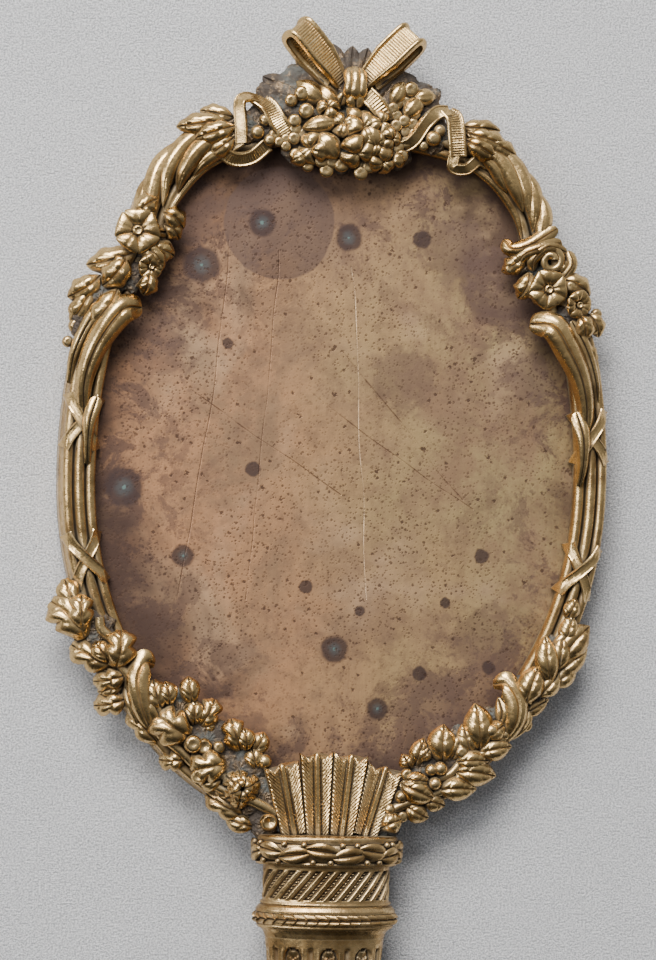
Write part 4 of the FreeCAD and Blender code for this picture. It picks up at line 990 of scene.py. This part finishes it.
def finial():
    """An acorn: a scaled cup, a smooth nut and a point."""
    piece = Piece()
    points = [(5.0, -116.0), (5.7, -116.5), (6.0, -117.4), (6.1, -119.2), (5.7, -120.2), (5.1, -120.5),
              (5.3, -121.4), (5.1, -123.4), (4.2, -126.0), (2.7, -128.2), (1.2, -129.2), (0.9, -129.7),
              (0.3, -130.0)]
    levels = []
    for (a0, y0), (a1, y1) in zip(points, points[1:]):
        levels += [(a0 + (a1 - a0) * k / 9, y0 + (y1 - y0) * k / 9) for k in range(9)]
    r, y = np.array(levels + [points[-1]]).T
    b = np.linspace(0, 2 * np.pi, 160, endpoint=False)[None, :]
    cup = ((y < -116.6) & (y > -120.1))[:, None]
    scale = np.abs(np.sin(b * 8 + y[:, None] * 2.6)) * np.abs(np.sin(b * 8 - y[:, None] * 2.6))
    radius = r[:, None] + 0.35 * cup * scale**0.6 - 0.15 * cup
    piece.tube(np.stack([radius * np.cos(b), y[:, None] + 0 * b, HANDLE_Z + radius * np.sin(b)], -1))
    return piece


LEFT_GROUND = [(-29.5, 23.0, 6.0), (-22.0, 16.0, 6.5), (-16.0, 9.5, 5.5), (-36.5, 30.0, 5.5),
               (-47.5, 38.0, 4.0), (-56.5, 49.0, 4.0), (-15.5, 3.5, 3.6)]
RIGHT_GROUND = [(31.0, 21.5, 5.5), (24.0, 15.5, 5.5), (17.5, 9.5, 5.0), (38.5, 28.0, 4.6), (47.5, 36.0, 4.0),
                (54.5, 46.0, 3.6), (14.5, 3.5, 3.4)]
SHOULDER_GROUND = [
    (-52.5, 133.5, 4.6), (-58, 127.5, 4.6), (-62, 121, 3.4), (-46.5, 140, 4.4), (50.5, 136, 5),
    (56.5, 127.5, 4.2), (44.5, 141, 4),
]
RIBBON_GROUND = [(-22.5, 170.0, 4.6), (-18.5, 170.0, 4.6), (20.5, 170.0, 4.8)]
GROUNDS = {
    "left_garland_ground": (LEFT_GROUND, 12.0), "right_garland_ground": (RIGHT_GROUND, 12.0),
    "shoulder_ground": (SHOULDER_GROUND, 12.0), "ribbon_ground": (RIBBON_GROUND, 11.8),
}


def ground(spots, z):
    piece = Piece()
    crust(piece, spots, z)
    return piece


# ---- materials -----------------------------------------------------------------------------------
class Value:
    """A number worked out by nodes. A sum on it makes one more node."""

    def __init__(self, paint, socket):
        self.paint = paint
        self.socket = socket

    def __add__(self, other):
        return self.paint.math("ADD", self, other)

    def __sub__(self, other):
        return self.paint.math("SUBTRACT", self, other)

    def __mul__(self, other):
        return self.paint.math("MULTIPLY", self, other)

    def __truediv__(self, other):
        return self.paint.math("DIVIDE", self, other)


class Paint:
    """Short names for building one material's nodes."""

    def __init__(self, name):
        self.material = bpy.data.materials.new(name)
        self.material.use_nodes = True
        self.tree = self.material.node_tree
        self.out = self.tree.nodes["Principled BSDF"]
        self.place = self.node("ShaderNodeTexCoord").outputs["Object"]

    def node(self, kind, **settings):
        made = self.tree.nodes.new(kind)
        for key, value in settings.items():
            setattr(made, key, value)
        return made

    def put(self, socket, value):
        """Link an output to a socket, or set a number or a colour on it."""
        value = getattr(value, "socket", value)
        if hasattr(value, "is_output"):
            self.tree.links.new(value, socket)
        else:
            socket.default_value = (*value, 1.0) if isinstance(value, tuple) else value

    def fill(self, made, **values):
        """Set a node's inputs by name, underscores standing for spaces."""
        for key, value in values.items():
            self.put(made.inputs[key.replace("_", " ").title().replace("Ior", "IOR")], value)

    def math(self, operation, a, b=0.0, c=0.0, clamp=False):
        made = self.node("ShaderNodeMath", operation=operation, use_clamp=clamp)
        for socket, value in zip(made.inputs, (a, b, c)):
            self.put(socket, value)
        return Value(self, made.outputs[0])

    def length(self, a, b):
        return self.math("SQRT", a * a + b * b)

    def parts(self, vector):
        made = self.node("ShaderNodeSeparateXYZ")
        self.put(made.inputs[0], vector)
        return [Value(self, output) for output in made.outputs]

    def noise(self, scale, detail=3.0, rough=0.5, distort=0.0, place=None):
        made = self.node("ShaderNodeTexNoise")
        self.fill(made, vector=place or self.place, scale=scale, detail=detail, roughness=rough,
                  distortion=distort)
        return Value(self, made.outputs["Fac"])

    def cells(self, scale):
        made = self.node("ShaderNodeTexVoronoi", feature="F1")
        self.fill(made, vector=self.place, scale=scale)
        return Value(self, made.outputs["Distance"])

    def occlusion(self, reach):
        made = self.node("ShaderNodeAmbientOcclusion", samples=8)
        self.fill(made, distance=reach)
        return Value(self, made.outputs["AO"])

    def spread(self, value, low, high, to_low=0.0, to_high=1.0):
        """A smooth step from to_low to to_high as the value goes from low to high."""
        made = self.node("ShaderNodeMapRange", interpolation_type="SMOOTHSTEP")
        self.fill(made, value=value, from_min=low, from_max=high, to_min=to_low, to_max=to_high)
        return Value(self, made.outputs["Result"])

    def blend(self, share, a, b):
        made = self.node("ShaderNodeMix", data_type="RGBA", blend_type="MIX")
        for index, value in ((0, share), (6, a), (7, b)):
            self.put(made.inputs[index], value)
        return made.outputs[2]

    def bump(self, height, strength, distance, after=None):
        made = self.node("ShaderNodeBump")
        self.fill(made, strength=strength, distance=distance, height=height)
        if after is not None:
            self.fill(made, normal=after)
        return made.outputs["Normal"]

    def finish(self, **values):
        self.fill(self.out, **values)
        return self.material


def gilt_bronze(name, gold=(0.70, 0.475, 0.205), worn=0.5, rough=0.26):
    """Old gilding: worn pale gold with a painted highlight on upward-facing edges, browner on the flats, dark
    green-grey dirt in the hollows, painted shade on downward flanks and near-black painted shade in tight
    crevices.
    """
    bronze, worn_edge_and_highlight, crevice_shade_black = (0.34, 0.205, 0.08), (0.86, 0.66, 0.36), (0.03, 0.019, 0.010)
    brown_soil, green_soil = (0.075, 0.052, 0.031), (0.12, 0.11, 0.085)
    p = Paint(name)
    open_sky = p.occlusion(0.0030)
    tight_sky = p.occlusion(0.0009)
    edge = p.node("ShaderNodeNewGeometry").outputs["Pointiness"]
    patches = p.noise(170, 4, 0.6)
    fine = p.noise(900, 3, 0.6)
    wear = patches + fine * 0.35
    body = p.blend(p.spread(wear, worn, worn + 0.42), gold, bronze)
    upright = p.parts(p.node("ShaderNodeNewGeometry").outputs["Normal"])[2]
    upward = p.spread(upright, 0.30, 0.75)
    # Painted highlight: pointy edges that face up are paled towards light gold, partly worn gilding and
    # partly the glint of the light above.
    bright = p.spread(edge, 0.51, 0.58) * upward
    body = p.blend(bright * 0.5, body, worn_edge_and_highlight)
    deep = open_sky + patches * 0.35
    # Painted shade: partly occluded flanks that face sideways or down get the dark grime colour; dirt below
    # joins this painted shade with the real grime in the hollows.
    painted_flank_shade = p.spread(upright, 0.5, 0.1) * p.spread(open_sky, 1.0, 0.72)
    dirt = p.math("MAXIMUM", p.spread(deep, 1.12, 0.60), painted_flank_shade)
    # Painted shade: the tightest crevices, found by short-range occlusion, go nearly black.
    painted_crevice_shade = p.spread(tight_sky, 0.85, 0.4)
    soil = p.blend(p.spread(p.noise(60, 2), 0.48, 0.66), brown_soil, green_soil)
    # Grime colour over the hollows, and as painted shade over the downward flanks.
    body = p.blend(dirt * 0.8, body, soil)
    body = p.blend(painted_crevice_shade * 0.85, body, crevice_shade_black)
    dull = p.math("MAXIMUM", dirt, painted_crevice_shade)
    roughness = p.spread(fine, 0.3, 0.7, rough - 0.05, rough + 0.10) + dull * 0.3
    metal = p.spread(dull, 0.25, 1.0, 1.0, 0.25)
    surface = p.bump(p.noise(420, 3, 0.6), 0.3, 0.0003)
    surface = p.bump(p.noise(1500, 3, 0.65), 0.35, 0.00012, surface)
    return p.finish(base_color=body, metallic=metal, roughness=roughness, normal=surface)


def crusted_ground():
    """The rough ground between the castings, dull bronze under grey-green dirt."""
    brown_soil, green_soil, rubbed_bronze = (0.058, 0.043, 0.032), (0.105, 0.11, 0.10), (0.22, 0.155, 0.095)
    p = Paint("crusted_ground")
    patches = p.noise(260, 4, 0.65)
    grain = p.noise(1100, 4, 0.7)
    rub = p.spread(patches + grain * 0.5, 0.70, 0.92)
    soil = p.blend(p.spread(p.noise(150, 3, 0.6), 0.46, 0.66), brown_soil, green_soil)
    body = p.blend(rub, soil, rubbed_bronze)
    surface = p.bump(grain, 0.7, 0.0005)
    surface = p.bump(p.noise(350, 3, 0.6), 0.6, 0.001, surface)
    metal = p.spread(rub, 0.0, 1.0, 0.25, 0.95)
    return p.finish(base_color=body, metallic=metal, roughness=p.spread(rub, 0, 1, 0.72, 0.4), normal=surface)


# Spots, stains and the ring are (X, Y, radius); a scratch is (X, Y, X, Y, 1 if bright), all in drawing mm.
PLATE_SPOTS = [
    (-19.5, 147.3, 3), (1.7, 144.4, 3), (19.7, 144.6, 2), (-33.8, 136.6, 4), (-51, 82.8, 4.2),
    (-36.3, 66.7, 2.4), (1.1, 45.2, 3), (-6.3, 60, 1.5), (-20, 88, 1.6), (36.6, 68.5, 1.6), (39, 41.5, 1.5),
    (22, 39.6, 1.6), (7, 54.5, 1.2), (12, 31, 2.4), (-27, 118, 1.2), (28, 57, 1.2),
]
PLATE_STAINS = [
    (0, 156, 13), (28, 142, 9), (40, 134, 11), (-45, 117, 9), (16, 111, 9), (38, 48, 10), (27, 32, 9),
    (-38, 150, 10), (-20, 24, 7), (46, 112, 7),
]
PLATE_RING = (-15.2, 147.3, 13.8)
PLATE_SCRATCHES = [
    (-28, 142.7, -30.7, 104.3, 0), (-30.7, 104.3, -36.3, 56, 0), (-16.2, 140.7, -16.8, 104.7, 0),
    (-16.8, 104.7, -20.9, 56.5, 0), (1.9, 137.6, 5.4, 110, 1), (5.4, 110, 8.9, 57.4, 1),
    (-36, 106.5, -17.7, 95, 0), (-17.7, 95, 1.4, 82.4, 0), (-6, 106.7, 14.8, 92.4, 0),
    (14.8, 92.4, 34.4, 79.8, 0), (0.8, 117.2, 14.5, 102, 0), (14.5, 102, 31.9, 82, 0),
]
SPECK_SIZES = ((1150, 0.36, 0.7), (640, 0.28, 0.85), (300, 0.17, 0.95), (120, 0.085, 1.0))
GREEN_SPOT_RADIUS = 2.2


def copper_field(p, x, mid):
    """Warm copper brown, greener to the right, with brown clouds, brush strokes and pale patches."""
    tilt = x * 0.012 + p.noise(14, 4, 0.55, 0.6) * 1.4
    body = p.blend(p.spread(tilt, 0.25, 1.25), (0.55, 0.285, 0.145), (0.45, 0.325, 0.155))
    body = p.blend(p.spread(mid, 0.38, 0.68), body, (0.29, 0.18, 0.105))
    body = p.blend(p.spread(p.noise(260, 5, 0.7, 0.2), 0.40, 0.70, 0.0, 0.55), body, (0.22, 0.135, 0.085))
    strokes = p.node("ShaderNodeMapping")
    p.put(strokes.inputs["Vector"], p.place)
    strokes.inputs["Scale"].default_value = (1.0, 0.05, 1.0)
    brushed = p.noise(900, 3, 0.7, 0.0, strokes.outputs[0])
    body = p.blend(p.spread(brushed, 0.45, 0.8, 0.0, 0.28), body, (0.24, 0.145, 0.085))
    return p.blend(p.spread(p.noise(30, 3, 0.6, 0.4), 0.50, 0.72, 0.0, 0.6), body, (0.66, 0.44, 0.26))


def corrosion(p, body, x, y, wobble, coarse):
    """Round stains, one large ring, and dark spots that are greenish in the middle when large."""
    purple, ring_brown, spot_black = (0.14, 0.088, 0.07), (0.13, 0.085, 0.07), (0.062, 0.042, 0.040)
    halo, verdigris = (0.11, 0.14, 0.145), (0.16, 0.25, 0.23)
    for spot_x, spot_y, radius in PLATE_STAINS:
        near = spot_distance(p, x, y, spot_x, spot_y, coarse, 13.0)
        body = p.blend(p.spread(near, radius * 1.05, radius * 0.7, 0.0, 0.5), body, purple)
    ring_x, ring_y, radius = PLATE_RING
    near = spot_distance(p, x, y, ring_x, ring_y, wobble, 1.6)
    body = p.blend(p.spread(near, radius, radius * 0.96, 0.0, 0.75), body, ring_brown)
    for spot_x, spot_y, radius in PLATE_SPOTS:
        near = spot_distance(p, x, y, spot_x, spot_y, coarse, 1.6)
        body = p.blend(p.spread(near, radius * 1.3, radius * 0.9, 0.0, 0.85), body, spot_black)
        if radius > GREEN_SPOT_RADIUS:
            body = p.blend(p.spread(near, radius * 0.75, radius * 0.2, 0.0, 0.4), body, halo)
            body = p.blend(p.spread(near, 0.55, 0.2, 0.0, 0.7), body, verdigris)
    return body


def fine_specks(p):
    """Ragged specks of four sizes; the two smaller sizes crowd together in places."""
    ragged = (p.noise(1500, 2, 0.6) - 0.5) * 0.36
    density = p.spread(p.noise(30, 4, 0.65), 0.40, 0.58, 0.40, 1.0)
    specks = None
    for scale, reach, strength in SPECK_SIZES:
        dots = p.spread(p.cells(scale) + ragged, reach, reach * 0.45)
        if scale > 500:
            dots = dots * density
        dots = dots * strength
        specks = dots if specks is None else p.math("MAXIMUM", specks, dots)
    return specks


def scratches(p, body, x, y, wobble):
    """Broken scratches; returns the new colour and the depth of the grooves."""
    bright_copper, dirt = (0.78, 0.55, 0.34), (0.13, 0.07, 0.045)
    bent = x + (p.noise(22, 2) - 0.5) * 7.0
    broken = p.spread(p.noise(130, 3, 0.6), 0.38, 0.62, 0.15, 1.0)
    grooves = None
    for x0, y0, x1, y1, bright in PLATE_SCRATCHES:
        line = scratch_distance(p, bent, y, x0, y0, x1, y1, wobble)
        mark = p.spread(line, 0.24, 0.06) * broken
        body = p.blend(mark * 0.75, body, bright_copper if bright else dirt)
        grooves = mark if grooves is None else p.math("MAXIMUM", grooves, mark)
    return body, grooves


def tarnished_copper():
    """The field plate: mottled copper, nearly black towards its edge from tarnish and painted shade cast by
    the rim, with spots, specks and scratches.
    """
    blotch_brown, edge_tarnish_and_shade, speck_black = (0.13, 0.08, 0.066), (0.068, 0.041, 0.033), (0.075, 0.042, 0.030)
    p = Paint("tarnished_copper")
    across, ahead, _ = p.parts(p.place)
    wobble = p.noise(90, 3, 0.6)
    coarse = p.noise(330, 4, 0.65)
    x = across * 1000.0
    y = p.math("MULTIPLY_ADD", ahead, 1000.0, -SHIFT_Y)
    mid = p.noise(45, 5, 0.65, 0.3)
    body = copper_field(p, x, mid)
    far = p.length((x - 3.0) / 62.0, (y - 87.0) / 82.0)
    blotch = p.spread(p.noise(75, 8, 0.78, 0.4), 0.50, 0.57) * p.spread(far, 0.35, 0.95, 0.12, 0.8)
    body = p.blend(blotch, body, blotch_brown)
    patchy = far + (p.noise(32, 5, 0.62, 0.8) - 0.5) * 1.1
    # Darkening towards the plate's edge: partly tarnish and partly painted shade of the rim's shadow.
    edge = p.spread(patchy, 0.66, 1.04)
    body = p.blend(edge * 0.92, body, edge_tarnish_and_shade)
    body = corrosion(p, body, x, y, wobble, coarse)
    specks = fine_specks(p)
    body = p.blend(specks * 0.85, body, speck_black)
    body, grooves = scratches(p, body, x, y, wobble)
    surface = p.bump(grooves, 0.5, -0.0002)
    surface = p.bump(p.noise(160, 4, 0.6), 0.14, 0.0006, surface)
    surface = p.bump(specks, 0.35, -0.0001, surface)
    rough = p.spread(mid, 0.3, 0.7, 0.46, 0.60) + edge * 0.12
    metal = p.spread(edge, 0.0, 1.0, 0.80, 0.60)
    return p.finish(base_color=body, metallic=metal, roughness=rough, normal=surface, specular_ior_level=0.2)


def spot_distance(p, x, y, spot_x, spot_y, wobble, amount):
    """How far a point is from a spot's middle, roughened by noise."""
    return p.length(x - spot_x, y - spot_y) + (wobble - 0.5) * amount


def scratch_distance(p, x, y, x0, y0, x1, y1, wobble):
    """How far a point is from a scratch between two points."""
    run_x, run_y = x1 - x0, y1 - y0
    dx, dy = x - x0, y - y0
    share = p.math("DIVIDE", dx * run_x + dy * run_y, run_x**2 + run_y**2, clamp=True)
    return p.length(dx - share * run_x, dy - share * run_y) + p.math("ABSOLUTE", wobble - 0.5) * 0.5


def silvered_glass():
    p = Paint("silvered_glass")
    foxing = p.spread(p.noise(60, 5, 0.65, 0.5), 0.66, 0.78)
    body = p.blend(foxing, (0.86, 0.87, 0.87), (0.42, 0.38, 0.33))
    rough = p.spread(p.noise(25, 3), 0.4, 0.7, 0.02, 0.05) + foxing * 0.3
    return p.finish(base_color=body, metallic=1.0, roughness=rough, coat_weight=0.6, coat_roughness=0.02)


def plain_metal(name, colour, rough):
    """Turned or drawn metal with fine lines and slight tarnish."""
    p = Paint(name)
    tarnish = p.spread(p.noise(110, 4, 0.6), 0.45, 0.75)
    body = p.blend(tarnish * 0.6, colour, tuple(c * 0.45 for c in colour))
    surface = p.bump(p.noise(1500, 2), 0.12, 0.0001)
    roughness = p.spread(p.noise(500, 3), 0.3, 0.7, rough, rough + 0.14)
    return p.finish(base_color=body, metallic=1.0, roughness=roughness, normal=surface)


def card():
    p = Paint("backing_card")
    fibre = p.noise(700, 4, 0.7)
    body = p.blend(fibre, (0.36, 0.29, 0.20), (0.50, 0.43, 0.32))
    return p.finish(base_color=body, roughness=0.9, normal=p.bump(fibre, 0.3, 0.0002))


def suede():
    """A pale grey napped floor."""
    p = Paint("pale_suede")
    nap = p.noise(2100, 3, 0.7)
    tone = p.noise(9, 4, 0.6, 0.5)
    body = p.blend(p.spread(tone, 0.3, 0.7), (0.92, 0.915, 0.92), (0.99, 0.98, 0.98))
    body = p.blend(p.spread(nap, 0.38, 0.62, 0.0, 0.95), body, (0.47, 0.47, 0.485))
    surface = p.bump(nap, 1.0, 0.0011)
    surface = p.bump(p.noise(70, 4, 0.6), 0.25, 0.003, surface)
    return p.finish(base_color=body, roughness=0.92, normal=surface)


# ---- assembly ------------------------------------------------------------------------------------
def cast(pieces, material, slot_name):
    """Make each piece, standing for the CAD node that it is named after."""
    for name, piece in pieces.items():
        piece.make(f"{name}_cast", material, slot_name, name)


def build_ribbons(material):
    for side, word in SIDES:
        pieces = {
            "bow_loop": bow_loop(side), "upper_binding": binding(side, UPPER_BINDING_Y),
            "lower_binding": binding(side, LOWER_BINDING_Y), "strap": strap(side),
            "entwined_ribbon": entwined_ribbon(side),
        }
        cast({f"{word}_{name}": piece for name, piece in pieces.items()}, material, "ribbon_bronze")
    cast({"bow_knot": bow_knot()}, material, "ribbon_bronze")


def build_leaves(material):
    laurel = {"veins": 4, "lean": 0.1}
    pieces = {f"{word}_arch_sheath": arch_sheath(side) for side, word in SIDES}
    pieces.update({
        "blossom_cluster": blossom_cluster(), "left_flowers": left_flowers(),
        "right_flowers": right_flowers(), "oak_rosette": oak_rosette(),
        "left_crest_leaves": crest_leaves(LEFT_CREST), "right_crest_leaves": crest_leaves(RIGHT_CREST),
        "left_tongue_leaves": tongues(LEFT_TONGUES), "right_tongue_leaves": tongues(RIGHT_TONGUES),
        "left_shoulder_leaves": shoulder_leaves(LEFT_SHOULDER, LEFT_SHOULDER_BERRIES),
        "right_shoulder_leaves": shoulder_leaves(RIGHT_SHOULDER, RIGHT_SHOULDER_BERRIES),
        "left_oak_spray": garland(LEFT_OAK_SPRAY, oak, stems=[(-1, 52, 36, 0.6)]),
        "left_oak_garland": garland(LEFT_OAK_GARLAND, oak, LEFT_BERRIES,
        [(-1, 30, 7, 0.8), (-1, 28, 9, -1.6)]), "right_laurel_spray": garland(RIGHT_LAUREL_SPRAY, plain,
        stems=[(1, 54, 34, 0.6)], **laurel), "right_laurel_garland": garland(RIGHT_LAUREL_GARLAND, plain,
                                        RIGHT_BERRIES, [(1, 30, 7, 0.8), (1, 28, 9, -1.6)], **laurel),
    })
    pieces.update({f"fletching_{k + 1}": fletching(*feather) for k, feather in enumerate(FEATHERS)})
    cast(pieces, material, "ornament_bronze")


def build_ground(material):
    cast({"crest_ground": crest_ground()}, material, "ornament_bronze")
    for name, (spots, z) in GROUNDS.items():
        ground(spots, z).make(name, material, "ornament_bronze")


def build_handle(material):
    cast({
        "quiver_mouth": quiver_mouth(), "wreath_band_front": wreath_leaves(True),
        "wreath_band_back": wreath_leaves(False), "slotted_drum": slotted_drum(),
        "lower_moulding": lower_moulding(), "rope_ring_front": rope_half(True),
        "rope_ring_back": rope_half(False), "fluted_shaft": fluted_shaft(), "base_collar": base_collar(),
        "leaf_calyx": leaf_calyx(), "finial": finial(),
    }, material, "handle_bronze")


def build_object():
    gilt = gilt_bronze("gilt_rim")
    rim_frame().make("rim_casting", gilt, "rim_bronze", "rim_frame")
    build_ribbons(gilt_bronze("gilt_ribbon", worn=0.62, rough=0.23))
    build_leaves(gilt_bronze("gilt_ornament", worn=0.55, rough=0.22))
    build_ground(crusted_ground())
    build_handle(gilt_bronze("gilt_handle", gold=(0.68, 0.465, 0.215), worn=0.45))
    repaint("back_panel", tarnished_copper())
    repaint("looking_glass", silvered_glass())
    repaint("backing_card", card())
    repaint("glass_bezel", gilt)
    repaint("bezel_screws", plain_metal("screw_brass", (0.66, 0.52, 0.30), 0.28))
    repaint("tie_rod", plain_metal("rod_steel", (0.50, 0.50, 0.50), 0.30))


def repaint(node, material):
    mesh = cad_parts[node].data
    mesh.materials.clear()
    mesh.materials.append(material)


def build_stage():
    mesh = bpy.data.meshes.new("floor")
    mesh.from_pydata([(-2, -2, 0), (2, -2, 0), (2, 2, 0), (-2, 2, 0)], [], [(0, 1, 2, 3)])
    mesh.materials.append(suede())
    floor = bpy.data.objects.new("floor", mesh)
    bpy.context.scene.collection.objects.link(floor)


def area_light(name, place, size, power, colour):
    data = bpy.data.lights.new(name, "AREA")
    data.shape = "RECTANGLE"
    data.size, data.size_y = size
    data.energy = power
    data.color = colour
    light = bpy.data.objects.new(name, data)
    light.location = place
    light.rotation_mode = "QUATERNION"
    light.rotation_quaternion = (LIT_POINT - Vector(place)).to_track_quat("-Z", "Y")
    bpy.context.scene.collection.objects.link(light)


def build_light():
    """A window beyond the bow, a weak strip on the left, and a sky that is brighter towards the bow."""
    area_light("window", (-0.35, 1.0, 0.95), (0.9, 0.6), 38.0, (1.0, 0.985, 0.96))
    area_light("strip", (-0.85, 0.2, 0.85), (0.22, 1.0), 7.0, (0.97, 0.98, 1.0))
    world = bpy.data.worlds.new("room")
    world.use_nodes = True
    nodes, links = world.node_tree.nodes, world.node_tree.links
    direction = nodes.new("ShaderNodeTexCoord")
    split = nodes.new("ShaderNodeSeparateXYZ")
    ramp = nodes.new("ShaderNodeMapRange")
    links.new(direction.outputs["Generated"], split.inputs[0])
    links.new(split.outputs["Y"], ramp.inputs["Value"])
    for key, number in (("From Min", -0.7), ("From Max", 0.9), ("To Min", 0.06), ("To Max", 0.64)):
        ramp.inputs[key].default_value = number
    links.new(ramp.outputs["Result"], nodes["Background"].inputs["Strength"])
    nodes["Background"].inputs["Color"].default_value = (0.92, 0.95, 1.0, 1.0)
    bpy.context.scene.world = world


def build_camera():
    """Nearly overhead, tilted to the left, the part leaning a little clockwise in the picture."""
    target = Vector((-0.0023, (85.9 + SHIFT_Y) / 1000, 0.010))
    tilt, lean = math.radians(9.0), math.radians(1.7)
    back = Vector((-math.sin(tilt), 0.0, math.cos(tilt)))
    up = Vector((-math.sin(lean), math.cos(lean), 0.0))
    up = (up - back * up.dot(back)).normalized()
    right = up.cross(back)
    data = bpy.data.cameras.new("camera")
    data.lens = SENSOR_WIDTH * CAMERA_DISTANCE / VIEW_HEIGHT
    data.sensor_width = SENSOR_WIDTH
    camera = bpy.data.objects.new("camera", data)
    place = target + back * CAMERA_DISTANCE
    camera.matrix_world = Matrix.Translation(place) @ Matrix((right, up, back)).transposed().to_4x4()
    bpy.context.scene.collection.objects.link(camera)
    bpy.context.scene.camera = camera


build_object()
build_stage()
build_light()
build_camera()
